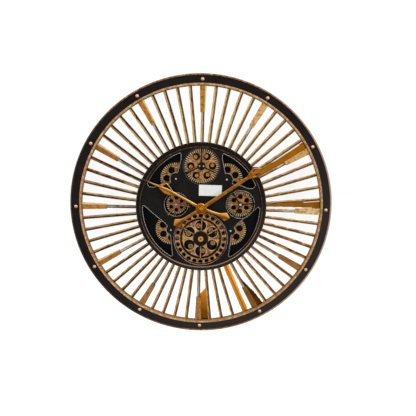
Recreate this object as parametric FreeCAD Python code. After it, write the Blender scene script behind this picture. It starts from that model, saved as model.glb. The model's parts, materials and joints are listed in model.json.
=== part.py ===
import FreeCAD, Part
import math
import os

os.makedirs("parts", exist_ok=True)

# Sunburst wall clock with moving gears, in millimetres.
# The hands turn about the Y axis, the wall is the plane y = 0 and the clock faces -Y.
# +X points to three o'clock and +Z to twelve.  A height is a distance off the wall: y = -height.
# A bearing is an angle in the clock's face, anticlockwise from +X.

FRONT = FreeCAD.Vector(0, -1, 0)
CENTRE = FreeCAD.Vector(0, 0, 0)
CLOCKWISE_AXIS = FreeCAD.Vector(0, 1, 0)

# Rim: a rolled channel ring with two round beads on its flat front band.
RIM_BACK_R = 301.0
RIM_FRONT_R = 298.5
RIM_INNER_R = 274.0
RIM_SHEET = 2.0
RIM_BACK = 3.0
RIM_FRONT = 41.0
RIM_LIP = 17.0
LEDGE_R = 262.0
OUTER_BEAD = 1.8
INNER_BEAD = 2.2
BEAD_FACETS = 8
RIVET_CIRCLE_R = 286.0
RIVET_HEAD_R = 4.0
RIVET_HEAD = 2.2
RIVET_R = 1.8
RIVET_TAIL_R = 3.0
RIVET_TAIL = 1.2
RIVET_DIMPLE_R = 1.5
RIVET_DIMPLE = 0.6
PAD_R = 6.5
PAD_CIRCLE_R = 291.5

# Sunburst: a backing disc carries one bar per minute with a strip of mirror between bars.
# It was fitted a little clockwise of twelve and off the middle, its bars cut to reach the rim.
SUNBURST_TURN = 0.6
SUNBURST_MIDDLE = (-1.3, -1.8)
MINUTES = 60
MINUTE_STEP = 6.0
HOUR_STEP = 30.0
BACKING_BACK = 27.0
BACKING = 30.0
MIRROR_TOP = 34.5
BAR_TOP = 36.0
BAR_HALF = 2.7
BAR_INNER_R = 149.0
BAR_OUTER_R = 273.4
BAR_GROOVE_HALF = 1.1
HOUR_GROOVE_HALF = 1.5
BAR_GROOVE = 0.8
MIRROR_GAP = 0.25
PLATE_LENGTH = 57.0
PLATE_TOP = 37.6
PLATE_OUTER_HALF = 7.6
PLATE_INNER_HALF = 5.4

# Drum: front shell, bezel bead, dial plate, rear can and its flat cover.
DRUM_R = 148.5
DRUM_BAND_R = 141.2
DRUM_TOP = 40.0
DRUM_SHEET = 1.5
BEZEL_R = 140.0
BEZEL_HALF = 1.15
DIAL_R = 138.7
DIAL_BACK = 36.0
DIAL_FRONT = 38.0
DIAL_LEDGE = 1.2
CAN_R = 145.0
CAN_INNER_R = 143.5
COVER_R = 146.0
COVER_TOP = 1.5
COVER_SCREW_R = 140.0
GEAR_PLATE_R = 141.0
GEAR_PLATE_BACK = 23.0
GEAR_PLATE_FRONT = 25.0
TRIM_WIDTH = 1.2
TRIM_TOP = 38.6
OPENING_TRIM = 1.0
BRIDGE_TOP = 39.5
WINDOW_R = 134.0
WINDOW_CORNER_R = 2.5
UPPER_BOSS_R = 14.5
LOWER_BOSS_R = 11.5
LABEL_LENGTH = 52.0
LABEL_WIDTH = 25.0
LABEL_THICKNESS = 0.2
LABEL_PLACE = (20.7, 41.2)
LABEL_TILT = 0.8
TOP_OPENING_R = 41.0
BOTTOM_OPENING_R = 62.0
LEFT_OPENING_R = 27.0
RIGHT_OPENING_R = 32.0

# Gear train: one layer of meshing wheels behind the dial, show wheels in front of it.
MODULE = 0.8
CORNER_TEETH = 90
DRIVE_TEETH = 90
RIGHT_TEETH = 74
TOP_TEETH = 72
LEFT_TEETH = 58
TRAIN_BACK = 27.0
TRAIN_FRONT = 30.0
SHOW_BACK = 31.5
SHOW_FRONT = 34.8
STUD_R = 2.0
STUD_BORE_R = 2.05
PRESSURE_ANGLE = math.radians(20.0)
TOOTH_SHARE = 0.46
TOP_SHOW_TEETH = 98
CORNER_HOLES = (21.4, 7.8)
UPPER_RIGHT_HOLE = 26.0
LOWER_LEFT_HOLE = -28.0
LOWER_RIGHT_HOLE = 12.0
TOP_HOLES = (24.5, 8.4)
LEFT_HOLES = (14.0, 4.6)
RIGHT_HOLES = (17.0, 5.6)
RING_OUTER_R = 60.8
RING_INNER_R = 47.6
RING_SLOTS = 24
SPOKE_HALF = 1.1
HUB_DISC_R = 17.6
DISC_R = 45.2
DISC_THICKNESS = 1.6
PLANET_HOLE_R = 11.4
SLOT_OUTER_R = 58.2
SLOT_INNER_R = 51.4
SLOT_OUTER_ANGLE = 5.4
SLOT_INNER_ANGLE = 4.6
SPOKE_BEARINGS = (32.0, 87.0, 148.0, 270.0)
PLANET_CIRCLE_R = 30.5
PLANET_LAG = 10.0
TOP_ROLLER_R = 4.4
TOP_ROLLER_LAG = 5.0

# Quartz movement on the hands' axis.
MOVEMENT_HALF = 28.0
MOVEMENT_BACK = 5.0
CASE_WALL = 1.5
MOTION_MODULE = 0.6
CANNON_TEETH = 10
MINUTE_WHEEL_TEETH = 30
MINUTE_PINION_TEETH = 8
HOUR_WHEEL_TEETH = 32
MOTION_DISTANCE = 12.0
MINUTE_WHEEL_PHASE = 0.0
MINUTE_PINION_PHASE = 0.0
ARBOR_R = 1.5
PIPE_BORE_R = 1.55
PIPE_R = 2.5
BUSHING_BORE_R = 2.55
BUSHING_R = 4.0
CELL_R = 7.1
CELL_LENGTH = 50.5

# Gear motor on the bottom wheel's axis.
MOTOR_CASE_HALF = 30.0
MOTOR_TEETH = 12
MOTOR_WHEEL_TEETH = 60
MOTOR_R = 8.0
MOTOR_BEARING = -45.0

# Battery box for the gear motor.
BOX_X = (-106.0, -44.0)
BOX_Z = (-24.0, 12.0)
BOX_H = (4.0, 21.0)
BOX_MIDDLE_X = (BOX_X[0] + BOX_X[1]) / 2
BOX_MIDDLE_Z = (BOX_Z[0] + BOX_Z[1]) / 2
BAY_HALF_LENGTH = 25.85
BAY_HALF = 7.4
BAY_OFFSET = 8.2
EAR = 6.0
SWITCH_X = -75.0
SWITCH_Z = -6.0
SWITCH_HALF_LENGTH = 4.0
WIRE_R = 0.8
WIRE_BEND_R = 12.0
WIRE_HEIGHT = 12.0

# The middles of the three AA cells (x, z, height): one in the movement, two in the battery box.
CELL_PLACES = (
    (0.0, 18.6, 14.0),
    (BOX_MIDDLE_X, BOX_MIDDLE_Z - BAY_OFFSET, 12.9),
    (BOX_MIDDLE_X, BOX_MIDDLE_Z + BAY_OFFSET, 12.9),
)

# Hands.
HOUR_BEARING = 151.5
HOUR_TAIL_BEARING = -18.0
MINUTE_BEARING = 34.8
HOUR_BACK = 41.6
HOUR_FRONT = 45.2
MINUTE_BACK = 46.0
MINUTE_FRONT = 49.8
BOSS_R = 12.8
ARM_HALF = 5.0
LEAF_HALF = 11.0
TAIL_REACH = 70.0
HOUR_LEAF = 91.0
HOUR_TIP = 152.0
MINUTE_LEAF = 146.0
MINUTE_TIP = 206.0


def at(x, z, height):
    return FreeCAD.Vector(x, -height, z)


def beside(place, bearing, distance):
    angle = math.radians(bearing)
    return (place[0] + distance * math.cos(angle), place[1] + distance * math.sin(angle))


def disc(place, radius, low, high):
    return Part.makeCylinder(radius, high - low, at(place[0], place[1], low), FRONT)


def tube(place, inner, outer, low, high):
    return disc(place, outer, low, high).cut(disc(place, inner, low, high))


def prism(points, low, high):
    corners = [at(x, z, low) for x, z in points]
    wire = Part.makePolygon(corners + corners[:1])
    return Part.Face(wire).extrude(FRONT * (high - low))


def box(x_range, z_range, low, high):
    corner = FreeCAD.Vector(x_range[0], -high, z_range[0])
    return Part.makeBox(x_range[1] - x_range[0], high - low, z_range[1] - z_range[0], corner)


def turned(profile):
    # Revolves a closed outline of (radius, height) points about the hands' axis.
    corners = [FreeCAD.Vector(radius, -height, 0) for radius, height in profile]
    wire = Part.makePolygon(corners + corners[:1])
    return Part.Face(wire).revolve(CENTRE, CLOCKWISE_AXIS, 360)


def bead(radius, half, base):
    # A half-round wire standing on the flat at the base height, in eight facets.
    profile = []
    for step in range(BEAD_FACETS + 1):
        angle = math.pi * step / BEAD_FACETS
        profile.append((radius - half * math.cos(angle), base + half * math.sin(angle)))
    return turned(profile)


def turn(shape, angle):
    # A copy turned clockwise about the hands' axis, as seen from the front.
    copy = shape.copy()
    copy.rotate(CENTRE, CLOCKWISE_AXIS, angle)
    return copy


def around(shape, count, start=0.0):
    return [turn(shape, start + index * 360.0 / count) for index in range(count)]


def save(node, shape):
    if isinstance(shape, list):
        shape = Part.makeCompound(shape)
    shape.exportStep("parts/" + node + ".step")


def involute(angle):
    return math.tan(angle) - angle


def tooth_half_angle(radius, teeth, module):
    pitch_r = teeth * module / 2
    base_r = pitch_r * math.cos(PRESSURE_ANGLE)
    at_pitch = math.pi * TOOTH_SHARE / teeth
    if radius <= base_r:
        return at_pitch + involute(PRESSURE_ANGLE)
    return at_pitch + involute(PRESSURE_ANGLE) - involute(math.acos(base_r / radius))


def toothed_disc(place, teeth, module, phase, low, high, addendum=0.85, dedendum=1.15):
    # Involute teeth; the first tooth points along the phase bearing.
    pitch_r = teeth * module / 2
    root_r = pitch_r - dedendum * module
    tip_r = pitch_r + addendum * module
    radii = [root_r, tip_r]
    if teeth < 40:
        radii = [root_r, max(root_r, pitch_r * math.cos(PRESSURE_ANGLE)), pitch_r, tip_r]
    points = []
    for tooth in range(teeth):
        centre_line = math.radians(phase) + 2 * math.pi * tooth / teeth
        rising = [(r, centre_line - tooth_half_angle(r, teeth, module)) for r in radii]
        falling = [(r, centre_line + tooth_half_angle(r, teeth, module)) for r in reversed(radii)]
        for radius, angle in rising + falling:
            points.append((place[0] + radius * math.cos(angle), place[1] + radius * math.sin(angle)))
    return prism(points, low, high)


def mesh_phase(phase, teeth, bearing, other_teeth):
    # The phase of a wheel that meshes with a first wheel across the given bearing.
    offset = (phase - bearing) * teeth / 360.0
    return bearing + 180.0 - (offset + 0.5) * 360.0 / other_teeth


def centre_distance(teeth, other_teeth, module=MODULE):
    return (teeth + other_teeth) * module / 2


# Wheel centres, each placed in mesh with the one before it.
HUB = (0.0, 0.0)
BOTTOM = (0.0, -73.0)
LOWER_BEARING = 16.5
LOWER_RIGHT = beside(BOTTOM, LOWER_BEARING, centre_distance(DRIVE_TEETH, CORNER_TEETH))
LOWER_LEFT = (-LOWER_RIGHT[0], LOWER_RIGHT[1])
RIGHT_BEARING = 71.4
RIGHT = beside(LOWER_RIGHT, RIGHT_BEARING, centre_distance(CORNER_TEETH, RIGHT_TEETH))
UPPER_RIGHT_BEARING = 119.5
UPPER_RIGHT = beside(RIGHT, UPPER_RIGHT_BEARING, centre_distance(RIGHT_TEETH, CORNER_TEETH))
UPPER_LEFT = (-UPPER_RIGHT[0], UPPER_RIGHT[1])
TOP_DISTANCE = centre_distance(CORNER_TEETH, TOP_TEETH)
TOP_BEARING = 180.0 - math.degrees(math.acos(UPPER_RIGHT[0] / TOP_DISTANCE))
TOP = beside(UPPER_RIGHT, TOP_BEARING, TOP_DISTANCE)
LEFT_BEARING = -89.4
LEFT = beside(UPPER_LEFT, LEFT_BEARING, centre_distance(CORNER_TEETH, LEFT_TEETH))

# Tooth phases that keep each pair in mesh at rest.
DRIVE_PHASE = 0.0
LOWER_RIGHT_PHASE = mesh_phase(DRIVE_PHASE, DRIVE_TEETH, LOWER_BEARING, CORNER_TEETH)
LOWER_LEFT_PHASE = mesh_phase(DRIVE_PHASE, DRIVE_TEETH, 180.0 - LOWER_BEARING, CORNER_TEETH)
RIGHT_PHASE = mesh_phase(LOWER_RIGHT_PHASE, CORNER_TEETH, RIGHT_BEARING, RIGHT_TEETH)
UPPER_RIGHT_PHASE = mesh_phase(RIGHT_PHASE, RIGHT_TEETH, UPPER_RIGHT_BEARING, CORNER_TEETH)
TOP_PHASE = mesh_phase(UPPER_RIGHT_PHASE, CORNER_TEETH, TOP_BEARING, TOP_TEETH)
UPPER_LEFT_PHASE = mesh_phase(TOP_PHASE, TOP_TEETH, 360.0 - TOP_BEARING, CORNER_TEETH)
LEFT_PHASE = mesh_phase(UPPER_LEFT_PHASE, CORNER_TEETH, LEFT_BEARING, LEFT_TEETH)

MOTION = (0.0, -MOTION_DISTANCE)
MOTOR_DISTANCE = centre_distance(MOTOR_TEETH, MOTOR_WHEEL_TEETH, MOTION_MODULE)
MOTOR = beside(BOTTOM, MOTOR_BEARING, MOTOR_DISTANCE)
STUD_PLACES = (UPPER_LEFT, UPPER_RIGHT, LOWER_LEFT, LOWER_RIGHT, LEFT, RIGHT)
PILLAR_R = 4.0
PILLAR_PLACES = (
    (0.0, 43.0),
    (-112.0, 26.0),
    (126.0, 36.0),
    (-34.0, -12.0),
    (-60.0, -117.0),
    (60.0, -117.0),
)
KEYHOLE_Z = 108.0
KEYHOLE_R = 4.5
KEYHOLE_SLOT_R = 2.3
KEYHOLE_RISE = 9.0
SCREW_R = 1.5
SCREW_HEAD_R = 3.0


# Rim.

def outer_ring():
    ring = turned([
        (RIM_BACK_R, RIM_BACK),
        (RIM_FRONT_R, RIM_FRONT),
        (RIM_INNER_R, RIM_FRONT),
        (RIM_INNER_R, BACKING_BACK),
        (LEDGE_R, BACKING_BACK),
        (LEDGE_R, BACKING_BACK - RIM_SHEET),
        (RIM_INNER_R + RIM_SHEET, BACKING_BACK - RIM_SHEET),
        (RIM_INNER_R + RIM_SHEET, RIM_FRONT - RIM_SHEET),
        (RIM_FRONT_R - RIM_SHEET, RIM_FRONT - RIM_SHEET),
        (RIM_BACK_R - RIM_SHEET, RIM_BACK + RIM_SHEET),
        (RIM_BACK_R - RIM_LIP, RIM_BACK + RIM_SHEET),
        (RIM_BACK_R - RIM_LIP, RIM_BACK),
    ])
    hole = disc((0, RIVET_CIRCLE_R), RIVET_R, RIM_FRONT - RIM_SHEET - 1, RIM_FRONT + 1)
    return ring.cut(Part.makeCompound(around(hole, 12)))


def rim_rivet():
    crown_r = (RIVET_HEAD_R ** 2 + RIVET_HEAD ** 2) / (2 * RIVET_HEAD)
    place = at(0, RIVET_CIRCLE_R, RIM_FRONT + RIVET_HEAD - crown_r)
    ball = Part.makeSphere(crown_r, place)
    head = ball.common(disc((0, RIVET_CIRCLE_R), RIVET_HEAD_R, RIM_FRONT, RIM_FRONT + RIVET_HEAD + 1))
    shank = disc((0, RIVET_CIRCLE_R), RIVET_R, RIM_FRONT - RIM_SHEET, RIM_FRONT)
    tail_top = RIM_FRONT - RIM_SHEET
    tail = disc((0, RIVET_CIRCLE_R), RIVET_TAIL_R, tail_top - RIVET_TAIL, tail_top)
    dimple_height = RIM_FRONT + RIVET_HEAD + RIVET_DIMPLE_R - RIVET_DIMPLE
    dimple = Part.makeSphere(RIVET_DIMPLE_R, at(0, RIVET_CIRCLE_R, dimple_height))
    return head.fuse([shank, tail]).cut(dimple)


def wall_pad():
    return disc((0, PAD_CIRCLE_R), PAD_R, 0, RIM_BACK)


# Sunburst.

def backing_disc():
    return tube(HUB, CAN_INNER_R, RIM_INNER_R - 0.2, BACKING_BACK, BACKING)


def ray_reach(clock, radius):
    # Distance along a ray from the sunburst's middle to a circle about the hub.
    angle = math.radians(clock)
    along = SUNBURST_MIDDLE[0] * math.sin(angle) + SUNBURST_MIDDLE[1] * math.cos(angle)
    square = SUNBURST_MIDDLE[0] ** 2 + SUNBURST_MIDDLE[1] ** 2
    return math.sqrt(radius ** 2 - square + along ** 2) - along


def on_ray(shape, clock):
    ray = turn(shape, clock)
    ray.translate(at(SUNBURST_MIDDLE[0], SUNBURST_MIDDLE[1], 0))
    return ray


def bar(minute, groove_half):
    clock = MINUTE_STEP * minute + SUNBURST_TURN
    length = (ray_reach(clock, BAR_INNER_R), ray_reach(clock, BAR_OUTER_R))
    body = box((-BAR_HALF, BAR_HALF), length, BACKING, BAR_TOP)
    groove = box((-groove_half, groove_half), length, BAR_TOP - BAR_GROOVE, BAR_TOP)
    return on_ray(body.cut(groove), clock)


def minute_bars():
    return [bar(minute, BAR_GROOVE_HALF) for minute in range(MINUTES) if minute % 5]


def hour_bars():
    return [bar(minute, HOUR_GROOVE_HALF) for minute in range(0, MINUTES, 5)]


def hour_plate(hour):
    clock = HOUR_STEP * hour + SUNBURST_TURN
    outer = ray_reach(clock, BAR_OUTER_R) - 0.4
    inner = outer - PLATE_LENGTH
    points = [
        (-PLATE_INNER_HALF, inner),
        (-PLATE_OUTER_HALF, outer),
        (PLATE_OUTER_HALF, outer),
        (PLATE_INNER_HALF, inner),
    ]
    return on_ray(prism(points, BAR_TOP, PLATE_TOP), clock)


def mirror_corner(clock, side, radius):
    # A corner of the wedge, beside the middle line of the bar on that side.
    half_step = math.radians(MINUTE_STEP / 2)
    edge = BAR_HALF + MIRROR_GAP
    along = ray_reach(clock + side * MINUTE_STEP / 2, radius)
    half = along * math.sin(half_step) - edge * math.cos(half_step)
    return (side * half, along * math.cos(half_step) + edge * math.sin(half_step))


def mirror_panel(minute):
    # Fills the wedge between the bars on either side, parallel to their edges.
    clock = MINUTE_STEP * (minute + 0.5) + SUNBURST_TURN
    ends = ((BAR_INNER_R, -1), (BAR_OUTER_R, -1), (BAR_OUTER_R, 1), (BAR_INNER_R, 1))
    points = [mirror_corner(clock, side, radius) for radius, side in ends]
    return on_ray(prism(points, BACKING, MIRROR_TOP), clock)


# Drum.

def drum_shell():
    return turned([
        (DRUM_R, BACKING),
        (DRUM_R, DRUM_TOP - 0.8),
        (DRUM_R - 0.8, DRUM_TOP),
        (DRUM_BAND_R, DRUM_TOP),
        (DRUM_BAND_R, DIAL_BACK),
        (DIAL_R - DIAL_LEDGE, DIAL_BACK),
        (DIAL_R - DIAL_LEDGE, DIAL_BACK - DRUM_SHEET),
        (DRUM_BAND_R + DRUM_SHEET, DIAL_BACK - DRUM_SHEET),
        (DRUM_BAND_R + DRUM_SHEET, DRUM_TOP - DRUM_SHEET),
        (DRUM_R - DRUM_SHEET, DRUM_TOP - DRUM_SHEET),
        (DRUM_R - DRUM_SHEET, BACKING),
    ])


def bezel_ring():
    band = tube(HUB, BEZEL_R - BEZEL_HALF, BEZEL_R + BEZEL_HALF, DIAL_BACK, DRUM_TOP)
    return band.fuse(bead(BEZEL_R, BEZEL_HALF, DRUM_TOP))


def upper_window(side):
    # The cut-out beside the top wheel that shows an upper corner wheel.
    outline = [
        (47, 140), (47, 112), (53, 87), (57, 60), (92, 53),
        (108, 47), (118, 48), (124, 56), (150, 75),
    ]
    window = prism([(side * x, z) for x, z in outline], DIAL_BACK - 1, TRIM_TOP + 1)
    boss = disc((side * UPPER_RIGHT[0], UPPER_RIGHT[1]), UPPER_BOSS_R, DIAL_BACK - 1, TRIM_TOP + 1)
    return window.common(disc(HUB, WINDOW_R, DIAL_BACK - 1, TRIM_TOP + 1)).cut(boss)


def lower_window(side):
    # The cut-out beside the bottom wheel that shows a lower corner wheel.
    outline = [
        (150, 8), (130, 3), (112, -13), (84, -36), (72, -50),
        (70, -72), (66, -112), (66, -130), (150, -90),
    ]
    window = prism([(side * x, z) for x, z in outline], DIAL_BACK - 1, TRIM_TOP + 1)
    boss = disc((side * LOWER_RIGHT[0], LOWER_RIGHT[1]), LOWER_BOSS_R, DIAL_BACK - 1, TRIM_TOP + 1)
    return window.common(disc(HUB, WINDOW_R, DIAL_BACK - 1, TRIM_TOP + 1)).cut(boss)


def rounded_window(window):
    upright = []
    for edge in window.Edges:
        ends = [vertex.Point for vertex in edge.Vertexes]
        if len(ends) == 2 and (ends[0] - ends[1]).cross(FRONT).Length < 1e-6:
            upright.append(edge)
    return window.makeFillet(WINDOW_CORNER_R, upright)


def windows():
    found = []
    for side in (-1, 1):
        found.append(rounded_window(upper_window(side)))
        found.append(rounded_window(lower_window(side)))
    return found


def round_openings(grow, low, high):
    return [
        disc(TOP, TOP_OPENING_R + grow, low, high),
        disc(BOTTOM, BOTTOM_OPENING_R + grow, low, high),
        disc(LEFT, LEFT_OPENING_R + grow, low, high),
        disc(RIGHT, RIGHT_OPENING_R + grow, low, high),
    ]


def dial_plate():
    plate = disc(HUB, DIAL_R, DIAL_BACK, DIAL_FRONT)
    holes = windows() + round_openings(0, DIAL_BACK - 1, DIAL_FRONT + 1)
    holes.append(disc(HUB, BUSHING_R + 0.1, DIAL_BACK - 1, DIAL_FRONT + 1))
    for place in STUD_PLACES[:4]:
        holes.append(disc(place, STUD_R, DIAL_BACK - 1, DIAL_FRONT + 1))
    for hole in holes:
        plate = plate.cut(hole)
    return plate


def trim_of(window):
    # A raised lip around one window, standing on the dial's face.
    face = window.common(box((-200, 200), (-200, 200), DIAL_FRONT, TRIM_TOP))
    bottom = [f for f in face.Faces if abs(f.CenterOfMass.y + DIAL_FRONT) < 1e-6][0]
    grown = bottom.makeOffset2D(TRIM_WIDTH)
    return grown.cut(bottom).extrude(FRONT * (TRIM_TOP - DIAL_FRONT))


def cutout_trims():
    trims = []
    for window in windows():
        trims.extend(trim_of(window).Solids)
    inner_discs = round_openings(0, DIAL_FRONT, TRIM_TOP)
    outer_discs = round_openings(OPENING_TRIM, DIAL_FRONT, TRIM_TOP)
    for inner, outer in zip(inner_discs, outer_discs):
        ring = outer.cut(inner)
        for trim in list(trims):
            ring = ring.cut(trim)
        trims.extend(ring.Solids)
    edge = disc(HUB, DIAL_R - 0.2, DIAL_FRONT, TRIM_TOP)
    return [trim.common(edge) for trim in trims]


def cover_screw_places():
    return [beside(HUB, 30.0 + 60.0 * index, COVER_SCREW_R) for index in range(6)]


def rear_can():
    can = turned([
        (CAN_R, COVER_TOP),
        (CAN_R, BACKING_BACK - DRUM_SHEET),
        (CAN_R + 9, BACKING_BACK - DRUM_SHEET),
        (CAN_R + 9, BACKING_BACK),
        (CAN_INNER_R, BACKING_BACK),
        (CAN_INNER_R, GEAR_PLATE_BACK),
        (CAN_INNER_R - 7, GEAR_PLATE_BACK),
        (CAN_INNER_R - 7, GEAR_PLATE_BACK - DRUM_SHEET),
        (CAN_INNER_R, GEAR_PLATE_BACK - DRUM_SHEET),
        (CAN_INNER_R, COVER_TOP + DRUM_SHEET),
        (CAN_INNER_R - 7, COVER_TOP + DRUM_SHEET),
        (CAN_INNER_R - 7, COVER_TOP),
    ])
    for place in cover_screw_places():
        can = can.cut(disc(place, SCREW_R, COVER_TOP - 1, COVER_TOP + DRUM_SHEET + 1))
    return can


def gear_plate():
    plate = disc(HUB, GEAR_PLATE_R, GEAR_PLATE_BACK, GEAR_PLATE_FRONT)
    holes = [disc(HUB, BUSHING_R + 0.1, GEAR_PLATE_BACK - 1, GEAR_PLATE_FRONT + 1)]
    holes.append(disc(BOTTOM, STUD_R + 0.05, GEAR_PLATE_BACK - 1, GEAR_PLATE_FRONT + 1))
    holes.append(disc(TOP, STUD_R, GEAR_PLATE_BACK - 1, GEAR_PLATE_FRONT + 1))
    for place in STUD_PLACES:
        holes.append(disc(place, STUD_R, GEAR_PLATE_BACK - 1, GEAR_PLATE_FRONT + 1))
    for place in PILLAR_PLACES:
        holes.append(disc(place, SCREW_R, GEAR_PLATE_BACK - 1, GEAR_PLATE_FRONT + 1))
    for hole in holes:
        plate = plate.cut(hole)
    return plate


def plate_pillar(place):
    pillar = disc(place, PILLAR_R, GEAR_PLATE_FRONT, DIAL_BACK)
    return pillar.cut(disc(place, SCREW_R, GEAR_PLATE_FRONT, GEAR_PLATE_FRONT + 5))


def case_screw(place, head_low, reach):
    # A pan-head screw put in from behind, its head on the side next to the wall.
    head = disc(place, SCREW_HEAD_R, head_low, head_low + 1.4)
    shank = disc(place, SCREW_R, head_low + 1.4, head_low + 1.4 + reach)
    slot_x = (place[0] - 2.4, place[0] + 2.4)
    slot_z = (place[1] - 0.4, place[1] + 0.4)
    return head.fuse(shank).cut(box(slot_x, slot_z, head_low - 1, head_low + 0.6))


def case_screws():
    screws = [case_screw(place, GEAR_PLATE_BACK - 1.4, 6.0) for place in PILLAR_PLACES]
    screws.extend(case_screw(place, 0.1, 2.5) for place in cover_screw_places())
    return screws


def rear_cover():
    cover = disc(HUB, COVER_R, 0, COVER_TOP)
    big = disc((0, KEYHOLE_Z), KEYHOLE_R, -1, COVER_TOP + 1)
    slot = box((-KEYHOLE_SLOT_R, KEYHOLE_SLOT_R), (KEYHOLE_Z, KEYHOLE_Z + KEYHOLE_RISE), -1, COVER_TOP + 1)
    end = disc((0, KEYHOLE_Z + KEYHOLE_RISE), KEYHOLE_SLOT_R, -1, COVER_TOP + 1)
    knob_hole = disc(MOTION, 9.0, -1, COVER_TOP + 1)
    switch_hole = box((SWITCH_X - 6, SWITCH_X + 6), (SWITCH_Z - 2.5, SWITCH_Z + 2.5), -1, COVER_TOP + 1)
    for hole in (big, slot, end, knob_hole, switch_hole):
        cover = cover.cut(hole)
    for place in cover_screw_places():
        cover = cover.cut(disc(place, SCREW_HEAD_R + 0.1, -1, COVER_TOP + 1))
    return cover


def label_sticker():
    half_length = LABEL_LENGTH / 2
    half_width = LABEL_WIDTH / 2
    top = DIAL_FRONT + LABEL_THICKNESS
    label = box((-half_length, half_length), (-half_width, half_width), DIAL_FRONT, top)
    label.rotate(CENTRE, CLOCKWISE_AXIS, LABEL_TILT)
    label.translate(FreeCAD.Vector(LABEL_PLACE[0], 0, LABEL_PLACE[1]))
    return label


# Show wheels, their bridges and the wheel train.

def ring_of_holes(place, count, hole_ring, start, low, high):
    # The hole ring is the pair (radius of the circle of centres, radius of a hole).
    circle_r, hole_r = hole_ring
    holes = []
    for index in range(count):
        hole_place = beside(place, start + index * 360.0 / count, circle_r)
        holes.append(disc(hole_place, hole_r, low - 1, high + 1))
    return holes


def pierced(wheel, holes):
    for hole in holes:
        wheel = wheel.cut(hole)
    return wheel


def train_gear(place, teeth, phase, hole_ring, first_hole):
    # A toothed wheel of the train with a ring of six lightening holes.
    wheel = toothed_disc(place, teeth, MODULE, phase, TRAIN_BACK, TRAIN_FRONT)
    holes = ring_of_holes(place, 6, hole_ring, first_hole, TRAIN_BACK, TRAIN_FRONT)
    holes.append(disc(place, STUD_BORE_R, TRAIN_BACK - 1, TRAIN_FRONT + 1))
    return pierced(wheel, holes)


def corner_gear(place, phase, first_hole):
    return train_gear(place, CORNER_TEETH, phase, CORNER_HOLES, first_hole)


def gear_stud(place, top):
    # A fixed stud: a foot in the gear plate, a shoulder under the wheel and a keeper above it.
    stem = disc(place, STUD_R, GEAR_PLATE_BACK, top)
    shoulder = disc(place, 4.0, GEAR_PLATE_FRONT, TRAIN_BACK - 0.3)
    keeper = disc(place, 3.2, TRAIN_FRONT + 0.3, TRAIN_FRONT + 1.2)
    return stem.fuse([shoulder, keeper])


def gear_studs():
    studs = [gear_stud(place, DIAL_FRONT + 0.6) for place in STUD_PLACES[:4]]
    studs.extend(gear_stud(place, DIAL_FRONT) for place in (LEFT, RIGHT))
    top_stem = disc(TOP, STUD_R, GEAR_PLATE_BACK, DIAL_FRONT)
    top_shoulder = disc(TOP, 4.0, GEAR_PLATE_FRONT, TRAIN_BACK - 0.3)
    studs.append(top_stem.fuse(top_shoulder))
    return studs


def top_wheel():
    # The driving wheel, with a hub and six rollers that show through the holes of the wheel in front.
    wheel = toothed_disc(TOP, TOP_TEETH, MODULE, TOP_PHASE, TRAIN_BACK, TRAIN_FRONT)
    hub = disc(TOP, 6.0, TRAIN_FRONT, SHOW_BACK)
    rollers = []
    for index in range(6):
        place = beside(TOP, 60.0 * index + TOP_ROLLER_LAG, TOP_HOLES[0])
        rollers.append(disc(place, TOP_ROLLER_R, TRAIN_FRONT, SHOW_BACK + 0.6))
        rollers.append(disc(place, TOP_ROLLER_R / 2, SHOW_BACK + 0.6, SHOW_BACK + 1.2))
    wheel = wheel.fuse([hub] + rollers)
    return wheel.cut(disc(TOP, STUD_BORE_R, TRAIN_BACK - 1, SHOW_BACK + 1))


def top_gear():
    wheel = toothed_disc(TOP, TOP_SHOW_TEETH, MODULE, 0.0, SHOW_BACK, SHOW_FRONT)
    holes = ring_of_holes(TOP, 6, TOP_HOLES, 0.0, SHOW_BACK, SHOW_FRONT)
    holes.append(disc(TOP, STUD_BORE_R, SHOW_BACK - 1, SHOW_FRONT + 1))
    return pierced(wheel, holes)


def bridge(place, hub_r, opening_r, arm_half, arms):
    # A flat spider over a round opening: a hub and straight arms that end on the dial's face.
    shape = disc(place, hub_r, DIAL_FRONT, BRIDGE_TOP)
    for bearing, reach in arms:
        arm = box((0, reach), (-arm_half, arm_half), DIAL_FRONT, BRIDGE_TOP)
        arm.rotate(CENTRE, FRONT, bearing)
        arm.translate(at(place[0], place[1], 0))
        shape = shape.fuse(arm)
    lip = tube(place, opening_r, opening_r + OPENING_TRIM, DIAL_FRONT, TRIM_TOP)
    return shape.cut(lip).removeSplitter()


def top_bridge():
    foot = TOP_OPENING_R + 5
    arms = ((90.0, DIAL_R - TOP[1] - 0.1), (-25.0, foot), (205.0, foot))
    shape = bridge(TOP, 9.2, TOP_OPENING_R, 1.3, arms)
    for side in (-1, 1):
        shape = shape.cut(disc((TOP[0] + side * 4.5, TOP[1] + 0.5), 1.0, DIAL_FRONT - 1, BRIDGE_TOP + 1))
    return shape


def left_bridge():
    foot = LEFT_OPENING_R + 4
    return bridge(LEFT, 4.5, LEFT_OPENING_R, 1.2, ((-8.0, foot), (112.0, foot), (232.0, foot)))


def right_bridge():
    foot = RIGHT_OPENING_R + 4
    return bridge(RIGHT, 5.2, RIGHT_OPENING_R, 1.4, ((5.0, foot), (125.0, foot), (245.0, foot)))


def bridge_screws():
    screws = []
    for side in (-1, 1):
        place = (TOP[0] + side * 4.5, TOP[1] + 0.5)
        head = disc(place, 1.6, BRIDGE_TOP, BRIDGE_TOP + 0.6)
        screws.append(head.fuse(disc(place, 1.0, DIAL_FRONT, BRIDGE_TOP)))
    screws.append(disc(LEFT, 1.6, BRIDGE_TOP, BRIDGE_TOP + 0.6))
    screws.append(disc(RIGHT, 2.8, BRIDGE_TOP, BRIDGE_TOP + 1.1))
    return screws


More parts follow.
